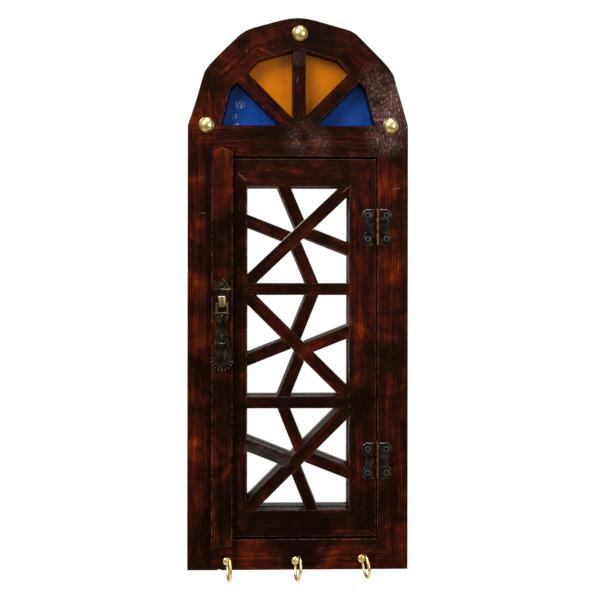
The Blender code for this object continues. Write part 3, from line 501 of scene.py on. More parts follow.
def finish_piece(name, mesh, body, material=None, stands_for=(), sharp=38, even=False):
    """Shade a finished mesh, and hang the piece on its body in place of the frame's nodes."""
    if isinstance(mesh, bmesh.types.BMesh):
        mesh = mesh_of(mesh, name)
    mesh.name = name
    if material:
        mesh.materials.append(material)
    mesh.shade_smooth()
    mesh.set_sharp_from_angle(angle=math.radians(sharp))
    piece = new_object(name, mesh)
    if even:
        flat = piece.modifiers.new("even_shading", "WEIGHTED_NORMAL")
        flat.keep_sharp = True
    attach(piece, body)
    if stands_for:
        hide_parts(*stands_for)
    return piece


def cad_copy(node):
    """The node's solid with its doubles merged and its flat faces in one piece."""
    bm = bmesh.new()
    bm.from_mesh(NODES[node].data)
    bmesh.ops.remove_doubles(bm, verts=bm.verts, dist=0.01 * MM)
    bmesh.ops.dissolve_limit(bm, angle_limit=math.radians(1), verts=bm.verts, edges=bm.edges)
    return bm


def prism(outline, front, back):
    """A flat solid from an outline in X and Z, cut through from one depth to another."""
    bm = bmesh.new()
    face = bm.faces.new([bm.verts.new((x, front, z)) for x, z in outline])
    grown = bmesh.ops.extrude_face_region(bm, geom=[face])["geom"]
    moved = [v for v in grown if isinstance(v, bmesh.types.BMVert)]
    bmesh.ops.translate(bm, verts=moved, vec=(0, back - front, 0))
    bmesh.ops.recalc_face_normals(bm, faces=bm.faces)
    return bm


def block(bm, low, high):
    """Add a box to a mesh, and return its corners."""
    made = bmesh.ops.create_cube(bm, size=1)["verts"]
    for v in made:
        v.co = Vector([(low[k] + high[k]) / 2 + v.co[k] * (high[k] - low[k]) for k in range(3)])
    return made


def skin(bm, rings):
    """Join each ring of points to the next, and return the faces."""
    return [bm.faces.new(quad) for a, b in zip(rings, rings[1:])
            for quad in zip(a, a[1:] + a[:1], b[1:] + b[:1], b)]


def solid_trees():
    """A search tree for each frame node, to find which faces are glued against a neighbour."""
    trees = {}
    for name, node in NODES.items():
        points = [v.co.copy() for v in node.data.vertices]
        trees[name] = BVHTree.FromPolygons(points, [p.vertices[:] for p in node.data.polygons])
    return trees


TREES = solid_trees()


def is_glued(face, own):
    """Whether most of a face lies within the glue gap of another piece of the same body."""
    middle = face.calc_center_median()
    samples = [middle] + [middle.lerp(v.co, 0.8) for v in face.verts]
    hits = 0
    for point in samples:
        start = point + face.normal * 0.02 * MM
        if any(tree.ray_cast(start, face.normal, 2 * GAP)[0] for name, tree in TREES.items()
               if name not in own and BODY_OF[name] == BODY_OF[own[-1]]):
            hits += 1
    return hits > 0.6 * len(samples)


def soften(bm, edges, width, segments=3):
    """Round some edges, and return where they ran."""
    ran = [(e.verts[0].co.copy(), e.verts[1].co.copy()) for e in edges]
    bmesh.ops.bevel(bm, geom=edges, offset=width, offset_type="OFFSET", segments=segments,
                    profile=0.5, affect="EDGES", clamp_overlap=True)
    return ran


def round_edges(bm, width, glued=(), least=15, segments=3):
    """Round the free edges of a solid, and return where they ran."""
    edges = [e for e in bm.edges if len(e.link_faces) == 2
             and e.calc_face_angle() > math.radians(least)
             and not any(f in glued for f in e.link_faces)]
    return soften(bm, edges, width, segments)


def write_wear(bm, edges, width):
    """How near each point is to one of the edges: 1 on the rounded edge, 0 off it."""
    wear = bm.verts.layers.float.new("wear")
    starts = np.array([a for a, b in edges]) if edges else np.zeros((0, 3))
    spans = np.array([b - a for a, b in edges]) if edges else np.zeros((0, 3))
    lengths = np.maximum((spans ** 2).sum(1), 1e-12) if edges else None
    for v in bm.verts:
        if not edges:
            continue
        rel = np.array(v.co) - starts
        t = np.clip((rel * spans).sum(1) / lengths, 0, 1)
        away = np.sqrt(((rel - spans * t[:, None]) ** 2).sum(1).min())
        v[wear] = max(0.0, min(1.0, (width - away) / (0.5 * width)))


# ---------------------------------------------------------------- wooden boards

def grain_axis(bm):
    """The direction in X and Z that a board is longest in."""
    points = np.array([(v.co.x, v.co.z) for v in bm.verts])
    values, vectors = np.linalg.eigh(np.cov((points - points.mean(0)).T))
    x, z = vectors[:, 1]
    axis = Vector((x, 0, z))
    return axis if z + 0.5 * x > 0 else -axis


def cut_across(bm, axis, step):
    """Cut a solid into slices, so that its surface can be made slightly uneven."""
    reach = [v.co.dot(axis) for v in bm.verts]
    count = int((max(reach) - min(reach)) / step)
    for i in range(1, count):
        at = min(reach) + (max(reach) - min(reach)) * i / count
        geometry = bm.verts[:] + bm.edges[:] + bm.faces[:]
        bmesh.ops.bisect_plane(bm, geom=geometry, plane_co=axis * at, plane_no=axis)


PLANED = 0.07 * MM            # how deep planing bites into a free face, give or take as much again
SWELL = 0.148 * MM            # how far a glued face grows to close its joint


def dress_board(bm, own, width, axis=None, slice_step=9 * MM):
    """Round a board's free edges, plane it a little unevenly, and lay its grain."""
    axis = axis or grain_axis(bm)
    across = Vector((-axis.z, 0, axis.x))
    depth = Vector((0, 1, 0))
    glued = [f for f in bm.faces if is_glued(f, own)]
    planes = [(f.calc_center_median(), f.normal.copy()) for f in glued]
    edges = round_edges(bm, width, glued)
    cut_across(bm, axis, slice_step)
    cut_across(bm, across, 7 * MM)
    bm.normal_update()
    write_wear(bm, edges, width)
    draw = random.Random(STAIN_SEED + sum(map(ord, own[0])))
    shift = Vector([draw.uniform(0, 4) for _ in range(3)])
    moves = []
    for v in bm.verts:
        ripple = noise.noise((v.co + shift) * 55) + 0.5 * noise.noise((v.co + shift) * 140)
        move = v.normal * -(PLANED + PLANED * ripple)
        for middle, normal in planes:
            if abs((v.co - middle).dot(normal)) < 0.02 * MM:
                move += normal * (SWELL - move.dot(normal))
        moves.append(move)
    for v, move in zip(bm.verts, moves):
        v.co += move
    grain = bm.verts.layers.float_vector.new("grain")
    for v in bm.verts:
        v[grain] = Vector((v.co.dot(axis), v.co.dot(across), v.co.dot(depth))) + shift
    return bm


def board(node, width=0.8 * MM, axis=None):
    bm = dress_board(cad_copy(node), [node], width, axis)
    return finish_piece("wood_" + node, bm, BODY_OF[node], WOOD, [node], even=True)


def chip_out(piece, at, size):
    """Break a small shell-shaped chip out of a board's edge."""
    bm = bmesh.new()
    bmesh.ops.create_icosphere(bm, subdivisions=3, radius=1)
    for v in bm.verts:
        rough = 1 + 0.25 * noise.noise(v.co * 2.3)
        v.co = Vector(at) + Vector((v.co.x * size[0], v.co.y * size[1], v.co.z * size[2])) * rough
    cutter = new_object("chip", mesh_of(bm, "chip"))
    cut = piece.modifiers.new("chip", "BOOLEAN")
    cut.operation = "DIFFERENCE"
    cut.object = cutter
    piece.data = apply_modifiers(piece)
    bpy.data.objects.remove(cutter)


# The arch's outer corners were rasped in by hand: degrees round the arch, and millimetres
RASPED = ((0, 0), (12, 0.5), (24, 1.3), (31, 0.9), (36, 0), (57, 0.6), (63, 0.3), (114, 0.2),
          (121, 1.3), (128, 1.0), (136, 0.4), (145, 0.5), (153, 2.2), (166, 1.8), (178, 0.5), (180, 0))
RASP_REACH = 12 * MM          # how far in from the outline the wood gives way


def rasp(piece):
    """Draw in a piece's outer edge round the arch."""
    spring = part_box("rail_header")[1].z
    outline = (CABINET_TOP - spring) * math.cos(math.radians(15))
    angles, depths = zip(*RASPED)
    for v in piece.data.vertices:
        out = Vector((v.co.x, v.co.z - spring))
        if out.y <= 0:
            continue
        depth = np.interp(math.degrees(math.atan2(out.y, out.x)), angles, depths) * MM
        share = max(0.0, min(1.0, (out.length - outline + RASP_REACH) / RASP_REACH))
        moved = out * (1 - depth * share / out.length)
        v.co.x, v.co.z = moved.x, moved.y + spring


def frame_boards():
    for node in ("stile_left", "stile_right", "rail_header"):
        board(node)
    rail = board("rail_bottom")
    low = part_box("rail_bottom")[0]
    chip_out(rail, (-71 * MM, low.y + 0.4 * MM, low.z), (1.9 * MM, 3.0 * MM, 1.5 * MM))
    for i in range(1, 7):
        rasp(board("arch_segment_%d" % i, 0.9 * MM))
    for word in ("left", "centre", "right"):
        board("fan_spoke_" + word, 0.5 * MM)


def door_boards():
    for node in ("door_stile_latch", "door_stile_hinge", "door_rail_top", "door_rail_bottom"):
        board(node, 0.8 * MM)
    for word in ("lower", "upper"):
        board("muntin_" + word, 0.6 * MM)
    low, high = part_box("cover_strip")
    shoulder = high.z - STRIP_POINT
    outline = [(low.x, low.z), (high.x, low.z), (high.x, shoulder),
               ((low.x + high.x) / 2, high.z), (low.x, shoulder)]
    bm = dress_board(prism(outline, low.y, high.y), ["cover_strip"], 0.9 * MM, Vector((0, 0, 1)))
    finish_piece("wood_cover_strip", bm, "door", WOOD, ["cover_strip"], even=True)


STRIP_POINT = 5.2 * MM        # how far the cover strip's tip rises over its shoulders

# Lattice: in each panel a long bar runs corner to corner, with two short bars on either side
BAR_W = 10.7 * MM
LONG_BAR_W = 11.6 * MM
BAR_SPREAD = 12.8 * MM        # where a short bar meets the panel's edge, off the middle
BAR_AIM = 4 * MM              # where it meets the long bar, off the middle


def clip(outline, point, normal):
    """The part of a convex outline on the side of a line that the normal points to."""
    kept = []
    for a, b in zip(outline, outline[1:] + outline[:1]):
        side_a = (Vector(a) - Vector(point)).dot(Vector(normal))
        side_b = (Vector(b) - Vector(point)).dot(Vector(normal))
        if side_a >= 0:
            kept.append(a)
        if side_a * side_b < 0:
            kept.append(tuple(Vector(a).lerp(Vector(b), side_a / (side_a - side_b))))
    return kept


def lattice_bars(node, flip):
    low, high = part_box(node)
    middle = (low + high) / 2
    half_x, half_z = (high.x - low.x) / 2, (high.z - low.z) / 2
    slope = half_z / half_x
    along = Vector((half_x, half_z)).normalized()
    normal = Vector((-along.y, along.x))
    far = 2 * half_z
    courses = [((-half_x, -half_z), (half_x, half_z), None)]
    for turn in (1, -1):
        for start, end in (((-BAR_SPREAD, half_z), (BAR_AIM, BAR_AIM * slope)),
                           ((-half_x, BAR_SPREAD), (-BAR_AIM, -BAR_AIM * slope))):
            courses.append((Vector(start) * turn, Vector(end) * turn, normal * turn))
    word = node.split("_")[-1]
    for i, (start, end, off) in enumerate(courses):
        run = (Vector(end) - Vector(start)).normalized()
        side = Vector((-run.y, run.x)) * ((BAR_W if off else LONG_BAR_W) / 2)
        a, b = Vector(start) - run * far, Vector(end) + run * far
        outline = [tuple(p) for p in (a - side, b - side, b + side, a + side)]
        if off:
            outline = clip(outline, off * (LONG_BAR_W / 2 + GAP / 2), off)
        for edge, inward in (((-half_x, 0), (1, 0)), ((half_x, 0), (-1, 0)),
                             ((0, -half_z), (0, 1)), ((0, half_z), (0, -1))):
            outline = clip(outline, edge, inward)
        sign = -1 if flip else 1
        outline = [(middle.x + x, middle.z + z * sign) for x, z in outline]
        step = 0.25 * MM if i else 0
        bm = prism(outline, low.y + step, high.y - step)
        bmesh.ops.recalc_face_normals(bm, faces=bm.faces)
        axis = Vector((run.x, 0, run.y * sign))
        name = "lattice_%s_bar_%d" % (word, i + 1)
        dress_board(bm, [name, node], 0.6 * MM, axis)
        finish_piece(name, bm, "door", WOOD, [node], even=True)


# ---------------------------------------------------------------- glass and hardboard

def slab(low, high, bevel):
    bm = bmesh.new()
    block(bm, low, high)
    bmesh.ops.bevel(bm, geom=bm.edges[:], offset=bevel, segments=2, affect="EDGES", profile=0.5)
    return bm


def mirror():
    low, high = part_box("mirror")
    film = 0.1 * MM
    glass = slab(low, (high.x, high.y - film, high.z), 0.3 * MM)
    finish_piece("mirror_glass_sheet", glass, "door", GLASS, ["mirror"], 30, even=True)
    inset = Vector((0.4 * MM, 0, 0.4 * MM))
    silver = slab((low.x + inset.x, high.y - film + 0.02 * MM, low.z + inset.z),
                  (high.x - inset.x, high.y, high.z - inset.z), 0.01 * MM)
    finish_piece("mirror_silvering", silver, "door", SILVER, ["mirror"], 30, even=True)


def panes():
    for colour, material in (("amber", AMBER), ("blue", BLUE)):
        for side in ("left", "right"):
            node = "pane_%s_%s" % (colour, side)
            bm = cad_copy(node)
            round_edges(bm, 0.4 * MM, segments=2)
            finish_piece("painted_" + node, bm, "cabinet", material, [node],
                         even=True)


# ---------------------------------------------------------------- Geometry Nodes

def new_tree(name, sizes):
    """A Geometry Nodes tree with named inputs; sizes maps each one's name to its socket kind."""
    tree = bpy.data.node_groups.new(name, "GeometryNodeTree")
    tree.interface.new_socket("Geometry", in_out="OUTPUT", socket_type="NodeSocketGeometry")
    tree.interface.new_socket("Geometry", in_out="INPUT", socket_type="NodeSocketGeometry")
    for label, kind in sizes.items():
        tree.interface.new_socket(label, in_out="INPUT", socket_type="NodeSocket" + kind)
    return tree, add(tree, "NodeGroupInput").outputs


def close_tree(tree, geometry, material):
    """End a tree: real geometry and its material."""
    real = add(tree, "GeometryNodeRealizeInstances", {"Geometry": geometry})
    coat = add(tree, "GeometryNodeSetMaterial", {"Geometry": real, "Material": material})
    add(tree, "NodeGroupOutput", {"Geometry": coat})


def draw_curve(node, *points):
    """Lead a float curve through some points, from its left end to its right one."""
    curve = node.mapping.curves[0]
    curve.points[0].location, curve.points[1].location = points[0], points[-1]
    for x, y in points[1:-1]:
        curve.points.new(x, y)
    node.mapping.update()


def grow(name, tree, sizes, points=((0, 0, 0),), edges=()):
    """Run a tree on some points and return the result as a plain mesh."""
    start = bpy.data.meshes.new(name + "_points")
    start.from_pydata(points, edges, [])
    carrier = new_object(name + "_carrier", start)
    modifier = carrier.modifiers.new("grow", "NODES")
    modifier.node_group = tree
    for item in tree.interface.items_tree:
        if item.in_out == "INPUT" and item.name in sizes:
            modifier[item.identifier] = sizes[item.name]
    mesh = apply_modifiers(carrier)
    bpy.data.objects.remove(carrier)
    return mesh


def screw_tree(material):
    """Pan-head screws at points, facing -Y: a rounded rim, a dished middle and a cross slot."""
    tree, size = new_tree("cross_slot_screws", {"Head Radius": "Float", "Head Height": "Float",
                                                "Seed": "Int"})
    head = add(tree, "GeometryNodeMeshCylinder",
               {"Vertices": 40, "Side Segments": 3, "Fill Segments": 9, "Radius": 1.0,
                "Depth": 1.0}, fill_type="TRIANGLE_FAN")
    place = add(tree, "GeometryNodeInputPosition").outputs["Position"]
    flat = add(tree, "ShaderNodeVectorMath", {0: place, 1: (1, 1, 0)}, operation="MULTIPLY")
    radius = add(tree, "ShaderNodeVectorMath", {0: flat}, operation="LENGTH")
    # Height of the face over its radius: dished to 62% in the middle, highest on the rim
    face = add(tree, "ShaderNodeFloatCurve", {"Value": radius.outputs["Value"]})
    draw_curve(face, (0, 0.62), (0.45, 0.70), (0.68, 0.98), (0.84, 0.94), (1, 0.34))
    parts = add(tree, "ShaderNodeSeparateXYZ", {"Vector": place})
    share = add(tree, "ShaderNodeMath", {0: parts.outputs["Z"], 1: 0.5}, operation="ADD")
    tall = add(tree, "ShaderNodeMath", {0: share, 1: face}, operation="MULTIPLY")
    up = add(tree, "ShaderNodeCombineXYZ", {"X": parts.outputs["X"], "Y": parts.outputs["Y"],
                                            "Z": tall})
    shaped = add(tree, "GeometryNodeSetPosition", {"Geometry": head, "Position": up})
    slot_long = add(tree, "GeometryNodeMeshCube", {"Size": (1.15, 0.24, 0.9)})
    slot_turned = add(tree, "GeometryNodeTransform",
                      {"Geometry": slot_long,
                       "Rotation": (0, 0, math.radians(90))})
    slot = add(tree, "GeometryNodeMeshBoolean", {"Mesh 2": [slot_long, slot_turned]}, operation="UNION")
    lifted = add(tree, "GeometryNodeTransform", {"Geometry": slot, "Translation": (0, 0, 0.8)})
    cut = add(tree, "GeometryNodeMeshBoolean", {"Mesh 1": shaped, "Mesh 2": lifted},
              operation="DIFFERENCE")
    scale = add(tree, "ShaderNodeCombineXYZ", {"X": size["Head Radius"], "Y": size["Head Radius"],
                                               "Z": size["Head Height"]})
    # The rim is rubbed bright and the dished middle stays dark
    rub = add(tree, "ShaderNodeMapRange", {"Value": radius.outputs["Value"], "From Min": 0.5,
                                           "From Max": 0.72, "To Max": 0.76})
    worn = add(tree, "GeometryNodeStoreNamedAttribute", {"Geometry": cut, "Name": "wear", "Value": rub})
    sized = add(tree, "GeometryNodeTransform", {"Geometry": worn, "Scale": scale})
    turn = add(tree, "FunctionNodeRandomValue", {"Seed": size["Seed"]}, data_type="FLOAT")
    angle = add(tree, "ShaderNodeMath", {0: turn.outputs[1], 1: math.tau}, operation="MULTIPLY")
    facing = add(tree, "ShaderNodeCombineXYZ", {"X": math.radians(90), "Z": 0.0})
    lay = add(tree, "GeometryNodeInstanceOnPoints", {"Points": size["Geometry"], "Instance": sized,
                                                     "Rotation": facing})
    spin_axis = add(tree, "ShaderNodeCombineXYZ", {"Z": angle})
    spun = add(tree, "GeometryNodeRotateInstances", {"Instances": lay, "Rotation": spin_axis,
                                                     "Local Space": True})
    close_tree(tree, spun, material)
    return tree


def petal_tree(material):
    """Rounded petals or beads laid round an arc in the XZ plane, from the input point."""
    tree, size = new_tree("petals_round_an_arc",
                          {"Count": "Int", "Arc Radius": "Float", "Start Angle": "Float",
                           "Sweep": "Float", "Length": "Float", "Width": "Float",
                           "Height": "Float", "Rub": "Float"})
    arc = add(tree, "GeometryNodeCurveArc",
              {"Resolution": size["Count"], "Radius": size["Arc Radius"],
               "Start Angle": size["Start Angle"], "Sweep Angle": size["Sweep"]})
    petal = add(tree, "GeometryNodeMeshUVSphere", {"Segments": 14, "Rings": 9, "Radius": 1.0})
    petal = add(tree, "GeometryNodeStoreNamedAttribute",
                {"Geometry": petal, "Name": "wear", "Value": size["Rub"]})
    scale = add(tree, "ShaderNodeCombineXYZ", {"X": size["Length"], "Y": size["Width"],
                                               "Z": size["Height"]})
    place = add(tree, "GeometryNodeInputPosition")
    turn = add(tree, "FunctionNodeAlignRotationToVector", {"Vector": place}, axis="X")
    lay = add(tree, "GeometryNodeInstanceOnPoints", {"Points": arc, "Instance": petal, "Rotation": turn,
                                                     "Scale": scale})
    stood = add(tree, "GeometryNodeTransform", {"Geometry": lay, "Rotation": (math.radians(90), 0, 0)})
    put = add(tree, "GeometryNodeInstanceOnPoints", {"Points": size["Geometry"], "Instance": stood})
    close_tree(tree, put, material)
    return tree


def hook_tree(material):
    """A cup hook seen from its point on the board: a domed flange, and wire bent into an open
    loop in the YZ plane."""
    tree, size = new_tree("cup_hook", {"Wire Radius": "Float", "Loop Radius": "Float", "Out": "Float",
                                       "Drop": "Float", "Turn": "Float", "Start Angle": "Float",
                                       "Flange Radius": "Float", "Flange Height": "Float"})
    back = add(tree, "ShaderNodeMath", {0: size["Turn"], 1: -1.0}, operation="MULTIPLY")
    arc = add(tree, "GeometryNodeCurveArc", {"Resolution": 96, "Radius": size["Loop Radius"],
                                             "Start Angle": size["Start Angle"], "Sweep Angle": back})
    # The arc lies in XY; stand it up so that its X runs back to the board, along +Y
    stood = add(tree, "GeometryNodeTransform", {"Geometry": arc, "Rotation": (math.radians(90), 0,
                                                                              math.radians(90))})
    out = add(tree, "ShaderNodeMath", {0: size["Out"], 1: -1.0}, operation="MULTIPLY")
    drop = add(tree, "ShaderNodeMath", {0: size["Drop"], 1: -1.0}, operation="MULTIPLY")
    shift = add(tree, "ShaderNodeCombineXYZ", {"Y": out, "Z": drop})
    moved = add(tree, "GeometryNodeTransform", {"Geometry": stood, "Translation": shift})
    # The wire thins to a rounded tip over its last tenth
    along = add(tree, "GeometryNodeSplineParameter")
    taper = add(tree, "ShaderNodeFloatCurve", {"Value": along.outputs["Factor"]})
    draw_curve(taper, (0, 1), (0.9, 0.98), (0.96, 0.82), (0.985, 0.6), (1, 0.12))
    thin = add(tree, "GeometryNodeSetCurveRadius", {"Curve": moved, "Radius": taper})
    ring = add(tree, "GeometryNodeCurvePrimitiveCircle", {"Resolution": 20,
                                                          "Radius": size["Wire Radius"]})
    wire = add(tree, "GeometryNodeCurveToMesh", {"Curve": thin, "Profile Curve": ring, "Scale": taper,
                                                 "Fill Caps": True})
    boss = add(tree, "GeometryNodeMeshUVSphere", {"Segments": 36, "Rings": 18, "Radius": 1.0})
    boss_size = add(tree, "ShaderNodeCombineXYZ",
                    {"X": size["Flange Radius"], "Y": size["Flange Height"],
                     "Z": size["Flange Radius"]})
    boss = add(tree, "GeometryNodeTransform", {"Geometry": boss, "Scale": boss_size})
    # The flange is cut flat where it bears on the board
    wall = add(tree, "GeometryNodeMeshCube", {"Size": (20 * MM, 10 * MM, 20 * MM)})
    wall = add(tree, "GeometryNodeTransform", {"Geometry": wall, "Translation": (0, 5 * MM, 0)})
    boss = add(tree, "GeometryNodeMeshBoolean", {"Mesh 1": boss, "Mesh 2": wall},
               operation="DIFFERENCE")
    both = add(tree, "GeometryNodeJoinGeometry", {"Geometry": [wire, boss]})
    put = add(tree, "GeometryNodeInstanceOnPoints", {"Points": size["Geometry"], "Instance": both})
    close_tree(tree, put, material)
    return tree


# ---------------------------------------------------------------- brass nails and cup hooks

def turned(profile, sides):
    """A solid turned about the Y axis; the profile lists (radius, forward) from middle to back."""
    bm = bmesh.new()
    rings = []
    for radius, forward in profile:
        count = 1 if radius == 0 else sides
        rings.append([bm.verts.new((radius * math.cos(i * math.tau / sides), -forward,
                                    radius * math.sin(i * math.tau / sides))) for i in range(count)])
    for a, b in zip(rings, rings[1:]):
        for i in range(sides):
            j = (i + 1) % sides
            quad = [a[i % len(a)], a[j % len(a)], b[j % len(b)], b[i % len(b)]]
            bm.faces.new(list(dict.fromkeys(quad)))
    bmesh.ops.recalc_face_normals(bm, faces=bm.faces)
    return bm


def dome_nails():
    """Spun brass domes with a rolled rim, each over its CAD node."""
    for word in ("top", "left", "right"):
        node = "dome_nail_" + word
        low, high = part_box(node)
        radius, height = (high.x - low.x) / 2 - 0.5 * MM, high.y - low.y
        ball = (radius ** 2 + height ** 2) / (2 * height)
        profile = [(0, height)]
        for i in range(1, 22):
            r = radius * 0.985 * math.sin(i / 22 * math.pi / 2)
            profile.append((r, height - ball + math.sqrt(ball ** 2 - r ** 2)))
        rim = 0.45 * MM
        for i in range(9):
            angle = math.pi / 2 - i * math.pi / 8
            profile.append((radius - rim + rim * math.cos(angle), rim + rim * math.sin(angle)))
        profile.append((0, 0))
        bm = turned(profile, 72)
        tarnish = bm.verts.layers.float.new("tarnish")
        for v in bm.verts:
            # Brown low on the dome, a painted shade of its lower side, and tarnish round its rim where fingers
            # don't polish
            painted_low_shade = bump_at(v.co.z, -0.6 * radius, 0.45 * radius) * bump_at(
                v.co.x, 0.1 * radius, 0.7 * radius)
            edge = max(0.0, math.hypot(v.co.x, v.co.z) / radius - 0.86) * 6
            v[tarnish] = min(1.0, 0.7 * painted_low_shade + edge)
        bmesh.ops.translate(bm, verts=bm.verts, vec=((low.x + high.x) / 2, high.y,
                                                     (low.z + high.z) / 2))
        finish_piece("brass_" + node, bm, "cabinet", BRASS, [node], 60)


HOOK_WIRE_R = 1.3 * MM
HOOK_LOOP_R = 10.4 * MM
HOOK_OUT = 12.1 * MM          # from the board's face to the loop's centre
HOOK_DROP = 3.5 * MM          # from the flange's centre down to the loop's centre
HOOK_TURN = 300               # degrees of loop
HOOK_YAW = 10
HOOK_LEANS = {"left": 0, "centre": -6, "right": 7}
FLANGE_R = 3.8 * MM
FLANGE_H = 2.1 * MM


def cup_hooks():
    tree = hook_tree(BRASS)
    start = math.asin(HOOK_DROP / HOOK_LOOP_R)
    for word, lean in HOOK_LEANS.items():
        node = "hook_" + word
        low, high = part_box(node)
        sizes = {"Wire Radius": HOOK_WIRE_R, "Loop Radius": HOOK_LOOP_R, "Out": HOOK_OUT - GAP,
                 "Drop": HOOK_DROP, "Turn": math.radians(HOOK_TURN), "Start Angle": start,
                 "Flange Radius": FLANGE_R, "Flange Height": FLANGE_H}
        mesh = grow(node, tree, sizes)
        turn = Matrix.Rotation(math.radians(HOOK_YAW), 4, "Z")
        turn = turn @ Matrix.Rotation(math.radians(-lean), 4, "Y")
        mesh.transform(turn)
        top = max(v.co.z for v in mesh.vertices)
        front = min(v.co.y for v in mesh.vertices)
        left = min(v.co.x for v in mesh.vertices)
        # Set the hook by its box, so that it lies exactly over its CAD node
        mesh.transform(Matrix.Translation((low.x - left, low.y - front, high.z - top)))
        finish_piece("brass_" + node, mesh, "cabinet", BRASS, [node], 50)


# ---------------------------------------------------------------- hinges

PIN = JOINT_AT["door_hinge"]
HINGE_WAIST = 3.4 * MM
LEAF_T = 1 * MM
KNUCKLE_R = 1.8 * MM
KNUCKLE_BORE_R = 1.1 * MM
PIN_R = 0.8 * MM
KNUCKLES = 5


def leaf_outline(half_height, far, lobe_x, lobe_z):
    """Half of a butterfly leaf, measured out from the pin: a round lobe, then a curved waist."""
    lobe = (far - lobe_x, half_height - lobe_z)
    points = [(KNUCKLE_R + GAP, half_height)]
    for i in range(17):
        angle = math.radians(90 - 140 * i / 16)
        points.append((lobe_x + lobe[0] * math.cos(angle), lobe_z + lobe[1] * math.sin(angle)))
    start, bend, end = Vector(points[-1]), Vector((far - HINGE_WAIST, lobe_z * 0.42)), Vector(
        (far - HINGE_WAIST, 0))
    for i in range(1, 9):
        t = i / 8
        points.append(tuple(start * (1 - t) ** 2 + bend * 2 * t * (1 - t) + end * t ** 2))
    return points


def add_knuckle(bm, wear, z0, z1, side):
    """A rolled knuckle round the pin with softened ends, and the sheet that runs back from it."""
    soft = 0.25 * MM
    profile = [(KNUCKLE_R - soft, z0), (KNUCKLE_R, z0 + soft), (KNUCKLE_R, z1 - soft),
               (KNUCKLE_R - soft, z1), (KNUCKLE_BORE_R, z1), (KNUCKLE_BORE_R, z0)]
    sides = 32
    rings = []
    for radius, z in profile:
        ring = []
        for i in range(sides):
            angle = i * math.tau / sides
            v = bm.verts.new((PIN.x + radius * math.cos(angle), PIN.y + radius * math.sin(angle), z))
            # The side turned to the hand is rubbed, and the rest keeps its patina
            v[wear] = max(0.15, 0.95 * math.cos(angle + math.radians(65)) ** 3)
            ring.append(v)
        rings.append(ring)
    made = skin(bm, rings + rings[:1])
    reach = sorted((PIN.x + side * (KNUCKLE_BORE_R + KNUCKLE_R) / 2,
                    PIN.x + side * (KNUCKLE_R + 1.2 * MM)))
    tab = block(bm, (reach[0], PIN.y + KNUCKLE_R - LEAF_T + 0.05 * MM, z0 + soft),
                (reach[1], PIN.y + KNUCKLE_R - 0.05 * MM, z1 - soft))
    for face in made + list({f for v in tab for f in v.link_faces}):
        face.material_index = 1


def hinge_leaf(level, body, side):
    node = "hinge_%s_%s_leaf" % (level, "frame" if side > 0 else "door")
    low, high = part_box(node)
    screw_low, screw_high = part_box("screw_%s_%s_high" % (level, "frame" if side > 0 else "door"))
    middle = (low.z + high.z) / 2
    half = (high.z - low.z) / 2
    far = high.x - PIN.x if side > 0 else PIN.x - low.x
    lobe_x = abs((screw_low.x + screw_high.x) / 2 - PIN.x)
    lobe_z = (screw_low.z + screw_high.z) / 2 - middle
    top = leaf_outline(half, far, lobe_x, lobe_z)
    outline = top + [(x, -z) for x, z in top[-2::-1]]
    outline = [(PIN.x + side * x, middle + z) for x, z in outline]
    back = PIN.y + KNUCKLE_R
    bm = prism(outline, back - LEAF_T, back)
    front_edges = [e for e in bm.edges if all(v.co.y < back - LEAF_T / 2 for v in e.verts)]
    write_wear(bm, soften(bm, front_edges, 0.4 * MM), 0.55 * MM)
    wear = bm.verts.layers.float["wear"]
    for v in bm.verts:
        # Upper edges get more of the rubbed colour: a painted highlight of the light from above, over the rubbed
        # rims
        v[wear] *= 0.95 if v.co.z > middle + half * 0.6 else 0.74
    step = (high.z - low.z) / KNUCKLES
    for i in range(0 if side > 0 else 1, KNUCKLES, 2):
        z0 = low.z + i * step + (GAP / 2 if i else 0)
        z1 = low.z + (i + 1) * step - (GAP / 2 if i < KNUCKLES - 1 else 0)
        add_knuckle(bm, wear, z0, z1, side)
    bmesh.ops.recalc_face_normals(bm, faces=bm.faces)
    piece = finish_piece("bronze_" + node, bm, body, BRONZE, [node], 40)
    piece.data.materials.append(KNUCKLE_BRONZE)


def hinge_pin(level):
    """Copper-worn pin with a domed head on top."""
    node = "hinge_%s_pin" % level
    low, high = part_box(node)
    head = 0.9 * MM
    length = high.z - low.z
    head_r = KNUCKLE_R * 0.8
    profile = [(head_r * math.sin(i / 6 * math.pi / 2),
                length - head + head * math.cos(i / 6 * math.pi / 2)) for i in range(7)]
    profile += [(PIN_R, length - head), (PIN_R, 0.2 * MM), (PIN_R * 0.75, 0), (0, 0)]
    bm = turned(profile, 24)
    wear = bm.verts.layers.float.new("wear")
    for v in bm.verts:
        v[wear] = 0.8
    bm.transform(Matrix.Translation((PIN.x, PIN.y, low.z)) @ Matrix.Rotation(math.radians(-90), 4, "X"))
    finish_piece("bronze_" + node, bm, "cabinet", KNUCKLE_BRONZE, [node], 50)


def frame_brads():
    """Two finishing nails set flush in the faces of the stiles, gone dark under the stain."""
    tree = pin_tree(BRONZE)
    points = [(x * MM, FRONT + 0.12 * MM, z * MM) for x, z in ((-84.6, 73.6), (90.9, 72.6))]
    mesh = grow("frame_brads", tree, {"Head Radius": 0.9 * MM, "Head Height": 0.35 * MM}, points)
    finish_piece("dark_frame_brads", mesh, "cabinet", None, (), 60)


